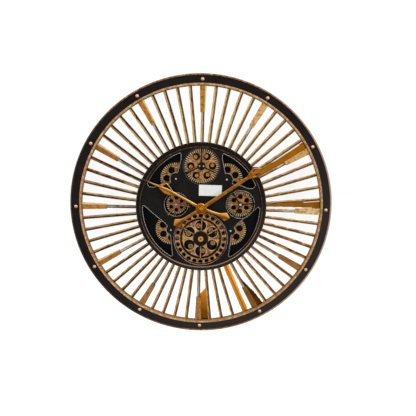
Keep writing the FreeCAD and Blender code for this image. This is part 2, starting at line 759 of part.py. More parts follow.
def bottom_wheel():
    wheel = toothed_disc(BOTTOM, DRIVE_TEETH, MODULE, DRIVE_PHASE, TRAIN_BACK, TRAIN_FRONT)
    return wheel.cut(disc(BOTTOM, STUD_R, TRAIN_BACK - 1, TRAIN_FRONT + 1))


def bottom_planet(index):
    # A small stepped disc that shows, off centre, through a hole of the front disc.
    place = beside(BOTTOM, 30.0 + 60.0 * index + PLANET_LAG, PLANET_CIRCLE_R)
    seat = disc(place, 5.6, TRAIN_FRONT, TRAIN_FRONT + 1.2)
    collar = tube(place, 3.4, 4.4, TRAIN_FRONT + 1.2, SHOW_BACK + 0.6)
    return seat.fuse([collar, disc(place, 1.8, TRAIN_FRONT + 1.2, SHOW_BACK + 1.4)])


def bottom_disc():
    front = SHOW_BACK + DISC_THICKNESS
    wheel = disc(BOTTOM, DISC_R, SHOW_BACK, front)
    holes = ring_of_holes(BOTTOM, 6, (PLANET_CIRCLE_R, PLANET_HOLE_R), 30.0, SHOW_BACK, front)
    holes.append(disc(BOTTOM, STUD_R, SHOW_BACK - 1, front + 1))
    return pierced(wheel, holes)


def bottom_gear():
    # The slotted outer ring with four thin spokes to a flat centre.
    low = SHOW_BACK + DISC_THICKNESS
    ring = tube(BOTTOM, RING_INNER_R, RING_OUTER_R, low, SHOW_FRONT)
    corners = (
        (-SLOT_OUTER_ANGLE, SLOT_OUTER_R),
        (SLOT_OUTER_ANGLE, SLOT_OUTER_R),
        (SLOT_INNER_ANGLE, SLOT_INNER_R),
        (-SLOT_INNER_ANGLE, SLOT_INNER_R),
    )
    for slot in range(RING_SLOTS):
        middle = 360.0 * slot / RING_SLOTS
        outline = [beside(BOTTOM, middle + bearing, radius) for bearing, radius in corners]
        ring = ring.cut(prism(outline, low - 1, SHOW_FRONT + 1))
    shape = ring.fuse(disc(BOTTOM, HUB_DISC_R - 0.6, low, SHOW_FRONT))
    for bearing in SPOKE_BEARINGS:
        spoke = box((10, RING_INNER_R + 1), (-SPOKE_HALF, SPOKE_HALF), low, SHOW_FRONT)
        spoke.rotate(CENTRE, FRONT, bearing)
        spoke.translate(at(BOTTOM[0], BOTTOM[1], 0))
        shape = shape.fuse(spoke)
    return shape.cut(disc(BOTTOM, STUD_R, low - 1, SHOW_FRONT + 1)).removeSplitter()


def bottom_hub():
    return tube(BOTTOM, STUD_R, HUB_DISC_R, SHOW_FRONT, SHOW_FRONT + 2.0)


def bottom_arbor():
    stem = disc(BOTTOM, STUD_R, 13.0, SHOW_FRONT + 2.0)
    button = tube(BOTTOM, 2.6, 6.2, SHOW_FRONT + 2.0, SHOW_FRONT + 3.4)
    core = disc(BOTTOM, 2.6, SHOW_FRONT + 2.0, SHOW_FRONT + 2.8)
    centre_hole = disc(BOTTOM, 1.2, SHOW_FRONT, SHOW_FRONT + 3.0)
    return stem.fuse([button, core]).cut(centre_hole)


def motor_wheel():
    wheel = toothed_disc(BOTTOM, MOTOR_WHEEL_TEETH, MOTION_MODULE, DRIVE_PHASE, 17.0, 19.0)
    return wheel.cut(disc(BOTTOM, STUD_R, 16, 20))


def motor_pinion():
    phase = mesh_phase(DRIVE_PHASE, MOTOR_WHEEL_TEETH, MOTOR_BEARING, MOTOR_TEETH)
    pinion = toothed_disc(MOTOR, MOTOR_TEETH, MOTION_MODULE, phase, 16.6, 19.4)
    shaft = disc(MOTOR, 1.0, 14.0, 20.4)
    return pinion.fuse(shaft)


def drive_motor():
    body = disc(MOTOR, MOTOR_R, MOVEMENT_BACK + CASE_WALL, 16.0)
    return body.cut(disc(MOTOR, 1.05, 13.9, 17.0))


def motor_case():
    # A moulded cup screwed to the back of the gear plate.
    half = MOTOR_CASE_HALF
    z_low = BOTTOM[1] - half
    z_high = BOTTOM[1] + half
    outer = box((-half, half), (z_low, z_high), MOVEMENT_BACK, GEAR_PLATE_BACK)
    inside = box((-half + CASE_WALL, half - CASE_WALL), (z_low + CASE_WALL, z_high - CASE_WALL),
                 MOVEMENT_BACK + CASE_WALL, GEAR_PLATE_BACK)
    return outer.cut(inside)


# Quartz movement.

def movement_case():
    half = MOVEMENT_HALF
    outer = box((-half, half), (-half, half), MOVEMENT_BACK + CASE_WALL, GEAR_PLATE_BACK)
    inside = box((-half + CASE_WALL, half - CASE_WALL), (-half + CASE_WALL, half - CASE_WALL),
                 MOVEMENT_BACK + CASE_WALL, GEAR_PLATE_BACK - CASE_WALL)
    case = outer.cut(inside)
    return case.cut(disc(HUB, BUSHING_R, 20, GEAR_PLATE_BACK + 1))


def movement_cover():
    half = MOVEMENT_HALF
    cover = box((-half, half), (-half, half), MOVEMENT_BACK, MOVEMENT_BACK + CASE_WALL)
    return cover.cut(disc(MOTION, 1.3, MOVEMENT_BACK - 1, MOVEMENT_BACK + 3))


def threaded_bushing():
    return tube(HUB, BUSHING_BORE_R, BUSHING_R, GEAR_PLATE_BACK - CASE_WALL, 41.0)


def hex_nut():
    points = [beside(HUB, 60.0 * corner, 8.0) for corner in range(6)]
    blank = prism(points, DIAL_FRONT, DIAL_FRONT + 2.4)
    return blank.cut(disc(HUB, BUSHING_R, DIAL_FRONT - 1, DIAL_FRONT + 4))


def movement_coil():
    core = box((14, 25), (-22, -17), 10, 13)
    winding = box((16, 23), (-24, -15), 8.5, 14.5)
    return winding.fuse(core)


def cell(x_middle, z, height):
    start = FreeCAD.Vector(x_middle - CELL_LENGTH / 2, -height, z)
    body = Part.makeCylinder(CELL_R, CELL_LENGTH - 1.2, start, FreeCAD.Vector(1, 0, 0))
    nipple_start = FreeCAD.Vector(x_middle + CELL_LENGTH / 2 - 1.2, -height, z)
    return body.fuse(Part.makeCylinder(2.6, 1.2, nipple_start, FreeCAD.Vector(1, 0, 0)))


def aa_cells():
    return [cell(*place) for place in CELL_PLACES]


def cell_terminals():
    terminals = []
    for x, z, height in CELL_PLACES:
        for side in (-1, 1):
            inner = x + side * (CELL_LENGTH / 2)
            outer = inner + side * 0.6
            span = (min(inner, outer), max(inner, outer))
            terminals.append(box(span, (z - 4, z + 4), height - 4, height + 4))
    return terminals


def battery_box():
    outer = box(BOX_X, BOX_Z, BOX_H[0], BOX_H[1])
    for _, z, height in CELL_PLACES[1:]:
        x_range = (BOX_MIDDLE_X - BAY_HALF_LENGTH, BOX_MIDDLE_X + BAY_HALF_LENGTH)
        outer = outer.cut(box(x_range, (z - BAY_HALF, z + BAY_HALF), height - BAY_HALF, BOX_H[1] + 1))
    well_x = (SWITCH_X - SWITCH_HALF_LENGTH - 1.5, SWITCH_X + SWITCH_HALF_LENGTH + 1.5)
    well = box(well_x, (SWITCH_Z - 0.5, SWITCH_Z + 0.5), BOX_H[0] - 1, BOX_H[0] + 1.2)
    ear_z = (BOX_MIDDLE_Z - 5, BOX_MIDDLE_Z + 5)
    ear_left = box((BOX_X[0] - EAR, BOX_X[0]), ear_z, BOX_H[1] - 2, GEAR_PLATE_BACK)
    ear_right = box((BOX_X[1], BOX_X[1] + EAR), ear_z, BOX_H[1] - 2, GEAR_PLATE_BACK)
    return outer.cut(well).fuse([ear_left, ear_right])


def power_switch():
    x_range = (SWITCH_X - SWITCH_HALF_LENGTH, SWITCH_X)
    grip = box(x_range, (SWITCH_Z - 2, SWITCH_Z + 2), 0.6, BOX_H[0] - 0.3)
    tongue = box(x_range, (SWITCH_Z - 0.4, SWITCH_Z + 0.4), BOX_H[0] - 0.3, BOX_H[0] + 1.0)
    return grip.fuse(tongue)


def lead_wire(x_start):
    # Leaves the battery box downwards, bends once and enters the motor case from the left.
    z_end = BOTTOM[1] + 12.0 + (x_start + 60.0)
    height = -WIRE_HEIGHT
    down = FreeCAD.Vector(0, 0, -1)
    right = FreeCAD.Vector(1, 0, 0)
    drop = BOX_Z[0] - (z_end + WIRE_BEND_R)
    first = Part.makeCylinder(WIRE_R, drop, FreeCAD.Vector(x_start, height, BOX_Z[0]), down)
    middle = FreeCAD.Vector(x_start + WIRE_BEND_R, height, z_end + WIRE_BEND_R)
    section = Part.Circle(FreeCAD.Vector(x_start, height, z_end + WIRE_BEND_R), down, WIRE_R).toShape()
    bend = Part.Face(Part.Wire(section)).revolve(middle, FreeCAD.Vector(0, -1, 0), 90)
    run = -MOTOR_CASE_HALF - (x_start + WIRE_BEND_R)
    last = Part.makeCylinder(WIRE_R, run, FreeCAD.Vector(x_start + WIRE_BEND_R, height, z_end), right)
    return first.fuse([bend, last])


def hour_pipe():
    wheel_phase = mesh_phase(MINUTE_PINION_PHASE, MINUTE_PINION_TEETH, 90.0, HOUR_WHEEL_TEETH)
    wheel = toothed_disc(HUB, HOUR_WHEEL_TEETH, MOTION_MODULE, wheel_phase, 18.0, 20.0, 0.7)
    pipe = disc(HUB, PIPE_R, 18.0, HOUR_FRONT)
    return wheel.fuse(pipe).cut(disc(HUB, PIPE_BORE_R, 17, HOUR_FRONT + 1))


def setting_arbor():
    wheel = toothed_disc(MOTION, MINUTE_WHEEL_TEETH, MOTION_MODULE, MINUTE_WHEEL_PHASE, 14.0, 16.0, 0.7)
    pinion = toothed_disc(MOTION, MINUTE_PINION_TEETH, MOTION_MODULE, MINUTE_PINION_PHASE, 16.0, 20.2, 0.7)
    stem = disc(MOTION, 1.25, 3.0, 21.0)
    return wheel.fuse([pinion, stem])


def set_knob():
    knob = toothed_disc(MOTION, 24, 0.6, 0.0, 1.0, 4.4, 0.4, 0.4)
    return knob.cut(disc(MOTION, 1.25, 3.0, 5.0))


def minute_arbor():
    phase = mesh_phase(MINUTE_WHEEL_PHASE, MINUTE_WHEEL_TEETH, 90.0, CANNON_TEETH)
    pinion = toothed_disc(HUB, CANNON_TEETH, MOTION_MODULE, phase, 14.0, 16.0, 0.7)
    return disc(HUB, ARBOR_R, 8.0, MINUTE_FRONT).fuse(pinion)


# Hands.

def along(points, bearing):
    # Turns an outline drawn along +X onto a bearing.
    angle = math.radians(bearing)
    cosine = math.cos(angle)
    sine = math.sin(angle)
    return [(u * cosine - v * sine, u * sine + v * cosine) for u, v in points]


def mirrored(half):
    # Closes a half outline of (reach, half width) points by reflection.
    return half + [(u, -v) for u, v in reversed(half)]


def blade(leaf, tip, bearing, low, high):
    # A straight arm that opens into an eyed leaf and ends in a needle.
    half = [
        (2, ARM_HALF),
        (leaf - 16, ARM_HALF - 0.8),
        (leaf + 3, LEAF_HALF),
        (leaf + 16, 3.2),
        (tip, 0.8),
    ]
    arm = prism(along(mirrored(half), bearing), low, high)
    for side in (-1, 1):
        eye = [(leaf - 7, side * 2.4), (leaf + 3.5, side * 2.4), (leaf + 2.5, side * 7.6)]
        arm = arm.cut(prism(along(eye, bearing), low - 1, high + 1))
    return arm


def tail(bearing, low, high):
    # The short arm behind the boss, flared like a bone end.
    half = [
        (2, ARM_HALF - 0.4),
        (TAIL_REACH - 24, 4.2),
        (TAIL_REACH - 10, LEAF_HALF - 0.6),
        (TAIL_REACH - 4, LEAF_HALF),
        (TAIL_REACH, LEAF_HALF - 3),
    ]
    return prism(along(mirrored(half), bearing), low, high)


def hand(leaf, tip, bearing, tail_bearing, low, high, bore_r):
    shape = disc(HUB, BOSS_R, low, high)
    shape = shape.fuse([blade(leaf, tip, bearing, low, high), tail(tail_bearing, low, high)])
    return shape.cut(disc(HUB, bore_r, low - 1, high + 1)).removeSplitter()


def hour_hand():
    return hand(HOUR_LEAF, HOUR_TIP, HOUR_BEARING, HOUR_TAIL_BEARING, HOUR_BACK, HOUR_FRONT, PIPE_R)


def minute_hand():
    tail_bearing = MINUTE_BEARING + 180.0
    return hand(MINUTE_LEAF, MINUTE_TIP, MINUTE_BEARING, tail_bearing, MINUTE_BACK, MINUTE_FRONT, ARBOR_R)


def hand_cap():
    base = disc(HUB, 7.5, MINUTE_FRONT, MINUTE_FRONT + 1.6)
    button = disc(HUB, 4.2, MINUTE_FRONT + 1.6, MINUTE_FRONT + 4.4)
    return base.fuse(button)


save("outer_ring", outer_ring())
save("outer_bead", bead(RIM_FRONT_R - OUTER_BEAD, OUTER_BEAD, RIM_FRONT))
save("inner_bead", bead(RIM_INNER_R + INNER_BEAD, INNER_BEAD, RIM_FRONT))
save("rim_rivets", around(rim_rivet(), 12))
save("wall_pads", around(wall_pad(), 6, HOUR_STEP))
save("backing_disc", backing_disc())
save("mirror_panels", [mirror_panel(minute) for minute in range(MINUTES)])
save("minute_bars", minute_bars())
save("hour_bars", hour_bars())
save("hour_plates", [hour_plate(hour) for hour in range(12)])
save("drum_shell", drum_shell())
save("bezel_ring", bezel_ring())
save("dial_plate", dial_plate())
save("cutout_trims", cutout_trims())
save("rear_can", rear_can())
save("gear_plate", gear_plate())
save("plate_pillars", [plate_pillar(place) for place in PILLAR_PLACES])
save("case_screws", case_screws())
save("rear_cover", rear_cover())
save("label_sticker", label_sticker())
save("gear_studs", gear_studs())
save("top_bridge", top_bridge())
save("left_bridge", left_bridge())
save("right_bridge", right_bridge())
save("bridge_screws", bridge_screws())
save("corner_gear_upper_left", corner_gear(UPPER_LEFT, UPPER_LEFT_PHASE, 0.0))
save("corner_gear_upper_right", corner_gear(UPPER_RIGHT, UPPER_RIGHT_PHASE, UPPER_RIGHT_HOLE))
save("corner_gear_lower_left", corner_gear(LOWER_LEFT, LOWER_LEFT_PHASE, LOWER_LEFT_HOLE))
save("corner_gear_lower_right", corner_gear(LOWER_RIGHT, LOWER_RIGHT_PHASE, LOWER_RIGHT_HOLE))
save("left_gear", train_gear(LEFT, LEFT_TEETH, LEFT_PHASE, LEFT_HOLES, 30.0))
save("right_gear", train_gear(RIGHT, RIGHT_TEETH, RIGHT_PHASE, RIGHT_HOLES, 30.0))
save("top_wheel", top_wheel())
save("top_gear", top_gear())
save("bottom_wheel", bottom_wheel())
save("bottom_planets", [bottom_planet(index) for index in range(6)])
save("bottom_disc", bottom_disc())
save("bottom_gear", bottom_gear())
save("bottom_hub", bottom_hub())
save("bottom_arbor", bottom_arbor())
save("motor_wheel", motor_wheel())
save("motor_pinion", motor_pinion())
save("drive_motor", drive_motor())
save("motor_case", motor_case())
save("movement_case", movement_case())
save("movement_cover", movement_cover())
save("threaded_bushing", threaded_bushing())
save("hex_nut", hex_nut())
save("movement_coil", movement_coil())
save("aa_cells", aa_cells())
save("cell_terminals", cell_terminals())
save("battery_box", battery_box())
save("power_switch", power_switch())
save("lead_wires", [lead_wire(-60.0), lead_wire(-64.0)])
save("hour_pipe", hour_pipe())
save("setting_arbor", setting_arbor())
save("set_knob", set_knob())
save("minute_arbor", minute_arbor())
save("hour_hand", hour_hand())
save("minute_hand", minute_hand())
save("hand_cap", hand_cap())
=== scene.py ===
import json
import math
import random

import bmesh
import bpy
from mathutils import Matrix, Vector


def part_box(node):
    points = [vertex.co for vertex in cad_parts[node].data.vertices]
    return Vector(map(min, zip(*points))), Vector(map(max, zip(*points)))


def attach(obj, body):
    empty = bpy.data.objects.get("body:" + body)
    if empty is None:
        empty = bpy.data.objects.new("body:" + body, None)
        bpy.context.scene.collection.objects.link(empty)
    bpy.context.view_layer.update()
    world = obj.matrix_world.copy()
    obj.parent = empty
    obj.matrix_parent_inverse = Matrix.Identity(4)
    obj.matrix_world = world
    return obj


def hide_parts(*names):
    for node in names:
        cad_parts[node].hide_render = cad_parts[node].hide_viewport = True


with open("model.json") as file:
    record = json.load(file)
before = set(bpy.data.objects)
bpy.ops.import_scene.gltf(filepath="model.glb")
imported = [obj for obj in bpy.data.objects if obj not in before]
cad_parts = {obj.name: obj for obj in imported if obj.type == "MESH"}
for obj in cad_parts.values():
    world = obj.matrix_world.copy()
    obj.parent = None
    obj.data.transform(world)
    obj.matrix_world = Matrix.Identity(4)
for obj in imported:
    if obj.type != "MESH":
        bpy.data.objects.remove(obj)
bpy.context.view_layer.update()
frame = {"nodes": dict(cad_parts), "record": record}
nodes = frame["nodes"]
random.seed(11)

# The clock's face is the XZ plane, the hands' axis is Y and the face looks along -Y.
# A height is a distance off the wall (y = -height).  Sizes below are in millimetres.
# A bearing is anticlockwise from +X as seen from the front.
MM = 0.001
HUB = (0.0, 0.0)
MINUTE_STEP = 6.0
BAR_HALF = 2.7
BAR_INNER_R = 149.0
BAR_OUTER_R = 273.4
RIM_INNER_R = 274.0
# The sunburst sits a little clockwise of twelve and off the clock's middle.
SUNBURST_TURN = 0.6
SUNBURST_MIDDLE = (-1.3, -1.8)


def middle_of(node):
    low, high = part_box(node)
    return (low + high) / 2


def height_of(node):
    """(back, front) heights of a CAD node in millimetres."""
    low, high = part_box(node)
    return -high.y / MM, -low.y / MM


# ---------------------------------------------------------------- camera and studio

CAMERA_PLACE = Vector((0.01238, -1.07991, 0.19555))
CAMERA_TARGET = Vector((0.01594, -0.0444, 0.00176))
CAMERA_ROLL = math.radians(-0.908)
CAMERA_LENS = 40.0
CLIP = (0.01, 100.0)
WORLD_STRENGTH = 1.06
FLOOR_DROP = 0.95
FLOOR_HALF = 14.0

# Disk lights turned to the clock's middle: name, place, watts and colour.
LIGHTS = (
    ("key_light", (1.2, -1.5, 1.9), 26.0, (1.0, 0.98, 0.95)),
    ("side_light", (-1.7, -1.2, 1.0), 7.0, (0.97, 0.98, 1.0)),
)
LIGHT_SIZE = 0.6


def new_object(name, data):
    """An object with this data, linked to the scene."""
    made = bpy.data.objects.new(name, data)
    bpy.context.scene.collection.objects.link(made)
    return made


def add_camera():
    data = bpy.data.cameras.new("camera")
    data.sensor_width = 36.0
    data.lens = CAMERA_LENS
    data.clip_start, data.clip_end = CLIP
    camera = new_object("camera", data)
    camera.location = CAMERA_PLACE
    camera.rotation_euler = (CAMERA_TARGET - CAMERA_PLACE).to_track_quat("-Z", "Y").to_euler()
    camera.rotation_euler.rotate_axis("Z", -CAMERA_ROLL)
    bpy.context.scene.camera = camera


def add_light(name, place, watts, colour):
    data = bpy.data.lights.new(name, "AREA")
    data.shape = "DISK"
    data.size = LIGHT_SIZE
    data.energy = watts
    data.color = colour
    lamp = new_object(name, data)
    lamp.location = place
    lamp.rotation_euler = (-Vector(place)).to_track_quat("-Z", "Y").to_euler()


def add_world():
    world = bpy.data.worlds.new("studio_world")
    world.use_nodes = True
    back = world.node_tree.nodes["Background"]
    back.inputs["Color"].default_value = (1.0, 1.0, 1.0, 1.0)
    back.inputs["Strength"].default_value = WORLD_STRENGTH
    bpy.context.scene.world = world


# ---------------------------------------------------------------- mesh helpers

def link_mesh(name, data, body, material, replaced=()):
    piece = new_object(name, data)
    data.materials.append(material)
    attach(piece, body)
    if replaced:
        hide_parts(*replaced)
    return piece


def spot(x, z, height):
    return Vector((x * MM, -height * MM, z * MM))


def beside(place, bearing, distance):
    angle = math.radians(bearing)
    return (place[0] + distance * math.cos(angle), place[1] + distance * math.sin(angle))


def finish_mesh(bm, name, smooth_angle=35.0):
    """Closes a bmesh into smooth-shaded mesh data that is creased above an angle in degrees."""
    bmesh.ops.remove_doubles(bm, verts=bm.verts, dist=1e-7)
    bmesh.ops.recalc_face_normals(bm, faces=bm.faces)
    data = bpy.data.meshes.new(name)
    bm.to_mesh(data)
    bm.free()
    for polygon in data.polygons:
        polygon.use_smooth = True
    data.set_sharp_from_angle(angle=math.radians(smooth_angle))
    return data


def turned(bm, place, profile, steps=72):
    """Adds a closed lathe form about the axis through place: profile is a list of (radius, height)."""
    rings = []
    for radius, height in profile:
        if radius < 1e-6:
            rings.append([bm.verts.new(spot(place[0], place[1], height))])
            continue
        ring = []
        for step in range(steps):
            x, z = beside(place, 360.0 * step / steps, radius)
            ring.append(bm.verts.new(spot(x, z, height)))
        rings.append(ring)
    for lower, upper in zip(rings, rings[1:]):
        for step in range(steps):
            after = (step + 1) % steps
            if len(lower) == 1 and len(upper) > 1:
                bm.faces.new((lower[0], upper[step], upper[after]))
            elif len(upper) == 1 and len(lower) > 1:
                bm.faces.new((lower[step], lower[after], upper[0]))
            elif len(lower) > 1:
                bm.faces.new((lower[step], lower[after], upper[after], upper[step]))


def loft(bm, bearing, height, sections, steps=14):
    """Adds a closed bone of oval sections: (reach, side, rise, half width, half thickness)."""
    angle = math.radians(bearing)
    forward = (math.cos(angle), math.sin(angle))
    rings = []
    for reach, side, rise, half_width, half_thick in sections:
        ring = []
        for step in range(steps):
            turn = 2 * math.pi * step / steps
            across = side + half_width * math.cos(turn)
            lift = height + rise + half_thick * math.sin(turn)
            x = reach * forward[0] - across * forward[1]
            z = reach * forward[1] + across * forward[0]
            ring.append(bm.verts.new(spot(x, z, lift)))
        rings.append(ring)
    for lower, upper in zip(rings, rings[1:]):
        for step in range(steps):
            after = (step + 1) % steps
            bm.faces.new((lower[step], lower[after], upper[after], upper[step]))
    bm.faces.new(list(reversed(rings[0])))
    bm.faces.new(rings[-1])


def cast_together(data, voxel, smoothing):
    """Fuses overlapping closed forms into one skin, as a casting, and softens it."""
    rough = new_object("rough", data)
    remesh = rough.modifiers.new("remesh", "REMESH")
    remesh.mode = "VOXEL"
    remesh.voxel_size = voxel * MM
    smooth = rough.modifiers.new("smooth", "SMOOTH")
    smooth.factor = 0.5
    smooth.iterations = smoothing
    graph = bpy.context.evaluated_depsgraph_get()
    skin = bpy.data.meshes.new_from_object(rough.evaluated_get(graph))
    bpy.data.objects.remove(rough)
    for polygon in skin.polygons:
        polygon.use_smooth = True
    return skin


# ---------------------------------------------------------------- shader helpers

STUDIO_LEVEL = 1.5
SHADER_SAMPLES = 6


def tone(red, green, blue, level=STUDIO_LEVEL):
    """The linear surface colour that shows as an 8-bit screen colour under a light of a level."""
    linear = []
    for value in (red, green, blue):
        share = value / 255.0
        share = share / 12.92 if share <= 0.04045 else ((share + 0.055) / 1.055) ** 2.4
        linear.append(share / level)
    return (*linear, 1.0)


class Finish:
    """A material under construction, in the clock's own coordinates."""

    def __init__(self, name, metallic=0.0, specular=0.12):
        self.material = bpy.data.materials.new(name)
        self.material.use_nodes = True
        self.tree = self.material.node_tree
        self.surface = self.tree.nodes["Principled BSDF"]
        self.surface.inputs["Metallic"].default_value = metallic
        self.surface.inputs["Specular IOR Level"].default_value = specular
        self.place = self.node("ShaderNodeTexCoord").outputs["Object"]
        self.base = tone(128, 128, 128)

    def node(self, kind, **settings):
        made = self.tree.nodes.new(kind)
        for key, value in settings.items():
            setattr(made, key, value)
        return made

    def feed(self, socket, value):
        if isinstance(value, bpy.types.NodeSocket):
            self.tree.links.new(value, socket)
        else:
            socket.default_value = value

    def maths(self, operation, first, second=0.0, third=0.0):
        made = self.node("ShaderNodeMath", operation=operation)
        for socket, value in zip(made.inputs, (first, second, third)):
            self.feed(socket, value)
        return made.outputs[0]

    def plus(self, first, second):
        return self.maths("ADD", first, second)

    def minus(self, first, second):
        return self.maths("SUBTRACT", first, second)

    def times(self, first, second):
        return self.maths("MULTIPLY", first, second)

    def weigh(self, first, share, second):
        """A blend of two values, the first with a share of up to 1."""
        return self.plus(self.times(first, share), self.times(second, 1.0 - share))

    def dot(self, first, second):
        made = self.node("ShaderNodeVectorMath", operation="DOT_PRODUCT")
        self.feed(made.inputs[0], first)
        self.feed(made.inputs[1], second)
        return made.outputs["Value"]

    def axes(self):
        """X, Y and Z in metres."""
        made = self.node("ShaderNodeSeparateXYZ")
        self.feed(made.inputs[0], self.place)
        return made.outputs

    def line(self, value, middle, outer, inner, share=1.0):
        """The share where a value lies within inner of a middle, and 0 beyond outer."""
        away = self.maths("ABSOLUTE", self.minus(value, middle))
        return self.spread(away, outer, inner, 0.0, share)

    def noise(self, size, detail=4.0, roughness=0.6, vector=None, offset=0.0):
        """Noise whose blobs are about size millimetres across."""
        made = self.node("ShaderNodeTexNoise")
        source = vector or self.place
        if offset:
            shift = self.node("ShaderNodeVectorMath", operation="ADD")
            self.feed(shift.inputs[0], source)
            shift.inputs[1].default_value = (offset, offset * 0.7, offset * 1.3)
            source = shift.outputs[0]
        self.feed(made.inputs["Vector"], source)
        made.inputs["Scale"].default_value = 1.0 / (size * MM)
        made.inputs["Detail"].default_value = detail
        made.inputs["Roughness"].default_value = roughness
        return made.outputs["Fac"]

    def spread(self, value, low, high, to_low=0.0, to_high=1.0):
        made = self.node("ShaderNodeMapRange", interpolation_type="SMOOTHSTEP")
        self.feed(made.inputs["Value"], value)
        made.inputs["From Min"].default_value = low
        made.inputs["From Max"].default_value = high
        made.inputs["To Min"].default_value = to_low
        made.inputs["To Max"].default_value = to_high
        return made.outputs["Result"]

    def ramp(self, value, *stops, blend="LINEAR"):
        made = self.node("ShaderNodeValToRGB")
        made.color_ramp.interpolation = blend
        self.feed(made.inputs["Fac"], value)
        entries = made.color_ramp.elements
        while len(entries) < len(stops):
            entries.new(0.5)
        for entry, (position, colour) in zip(entries, stops):
            entry.position = position
            entry.color = colour
        return made.outputs["Color"]

    def shades(self, value, low, high, *colours):
        """A ramp of 8-bit screen colours, evenly spaced from low to high."""
        gap = (high - low) / (len(colours) - 1)
        stops = [(low + gap * index, tone(*colour)) for index, colour in enumerate(colours)]
        return self.ramp(value, *stops)

    def mix(self, share, first, second):
        made = self.node("ShaderNodeMix", data_type="RGBA")
        self.feed(made.inputs["Factor"], share)
        self.feed(made.inputs[6], first)
        self.feed(made.inputs[7], second)
        return made.outputs[2]

    def polar(self, centre=(0.0, 0.0)):
        """(radius in metres, angle clockwise from +Z in radians) about a centre in millimetres."""
        axes = self.axes()
        x = self.minus(axes["X"], centre[0] * MM)
        z = self.minus(axes["Z"], centre[1] * MM)
        square = self.plus(self.times(x, x), self.times(z, z))
        return self.maths("SQRT", square), self.maths("ARCTAN2", x, z)

    def sunburst(self, step=MINUTE_STEP):
        """(metres across the nearest ray, radius, ray number) for rays every step degrees."""
        radius, angle = self.polar(SUNBURST_MIDDLE)
        turns = self.plus(self.maths("DIVIDE", angle, math.radians(step)), 0.5 - SUNBURST_TURN / step)
        number = self.maths("FLOOR", turns)
        share = self.minus(self.minus(turns, number), 0.5)
        across = self.times(self.times(share, math.radians(step)), radius)
        return across, radius, number

    def toward(self, angle, clock):
        """1 where a clockwise angle (radians) equals the clock angle (degrees) and -1 opposite."""
        return self.maths("COSINE", self.minus(angle, math.radians(clock)))

    def from_hole(self, centre, count, reach, bearing):
        """Metres from the middle of the nearest of a ring of holes, one of them at the bearing."""
        radius, angle = self.polar(centre)
        step = 2 * math.pi / count
        turns = self.plus(self.maths("DIVIDE", angle, step), 0.5 - math.radians(90.0 - bearing) / step)
        aside = self.times(self.minus(self.maths("FRACT", turns), 0.5), step)
        x = self.minus(self.times(radius, self.maths("COSINE", aside)), reach * MM)
        y = self.times(radius, self.maths("SINE", aside))
        return self.maths("SQRT", self.plus(self.times(x, x), self.times(y, y)))

    def along_bearing(self, bearing):
        """Metres along and anticlockwise across a line from the clock's centre."""
        east, north = math.cos(math.radians(bearing)), math.sin(math.radians(bearing))
        axes = self.axes()
        x, z = axes["X"], axes["Z"]
        along = self.plus(self.times(x, east), self.times(z, north))
        across = self.minus(self.times(z, east), self.times(x, north))
        return along, across

    def along_ray(self, across, radius, number, squeeze):
        """A texture vector in a ray's own frame, squeezed along the ray."""
        made = self.node("ShaderNodeCombineXYZ")
        self.feed(made.inputs[0], across)
        self.feed(made.inputs[1], self.times(radius, squeeze))
        self.feed(made.inputs[2], self.times(number, 0.37))
        return made.outputs[0]

    def rounded_normal(self, radius):
        """The normal as it would be with the corners rounded by a radius in millimetres."""
        made = self.node("ShaderNodeBevel", samples=SHADER_SAMPLES)
        made.inputs["Radius"].default_value = radius * MM
        return made.outputs[0]

    def edges(self, radius):
        """1 on the corners of a form and 0 on its flats."""
        normal = self.node("ShaderNodeNewGeometry").outputs["Normal"]
        return self.spread(self.dot(self.rounded_normal(radius), normal), 0.995, 0.90)

    def recess_dirt_and_shade(self, reach, low=0.35, high=0.85):
        """0 in corners and recesses, which callers darken as soiling and painted shade, and 1 on open
        faces.
        """
        open_share = self.node("ShaderNodeAmbientOcclusion", samples=SHADER_SAMPLES)
        open_share.inputs["Distance"].default_value = reach * MM
        return self.spread(open_share.outputs["AO"], low, high)

    def facing(self, direction):
        """How far the surface faces along a direction fixed to the piece, from -1 to 1."""
        normal = self.node("ShaderNodeTexCoord").outputs["Normal"]
        return self.dot(normal, Vector(direction).normalized())

    def level(self):
        """Height off the wall in metres."""
        return self.times(self.axes()["Y"], -1.0)

    def colour(self, value):
        self.feed(self.surface.inputs["Base Color"], value)

    def rough(self, value):
        self.feed(self.surface.inputs["Roughness"], value)

    def bump(self, height, strength, distance):
        made = self.node("ShaderNodeBump")
        made.inputs["Strength"].default_value = strength
        made.inputs["Distance"].default_value = distance * MM
        self.feed(made.inputs["Height"], height)
        self.feed(self.surface.inputs["Normal"], made.outputs["Normal"])

    def over(self, share, colour):
        """Covers a share of the base with a socket's colour, a linear one or an 8-bit screen one."""
        if isinstance(colour, tuple) and len(colour) == 3:
            colour = tone(*colour)
        self.base = self.mix(share, self.base, colour)

    def darken_dirt_and_shade(self, open_share, colour=(22, 15, 10)):
        """Leaves the open share of the base and turns the rest dark, as soiling and painted shade."""
        self.base = self.mix(open_share, tone(*colour), self.base)

    def done(self, shine, rough, relief, strength, depth):
        """Sets colour, roughness (a pair that follows the shine) and bump, and gives the material."""
        self.colour(self.base)
        self.rough(self.spread(shine, 0.3, 0.7, *rough))
        self.bump(relief, strength, depth)
        return self.material


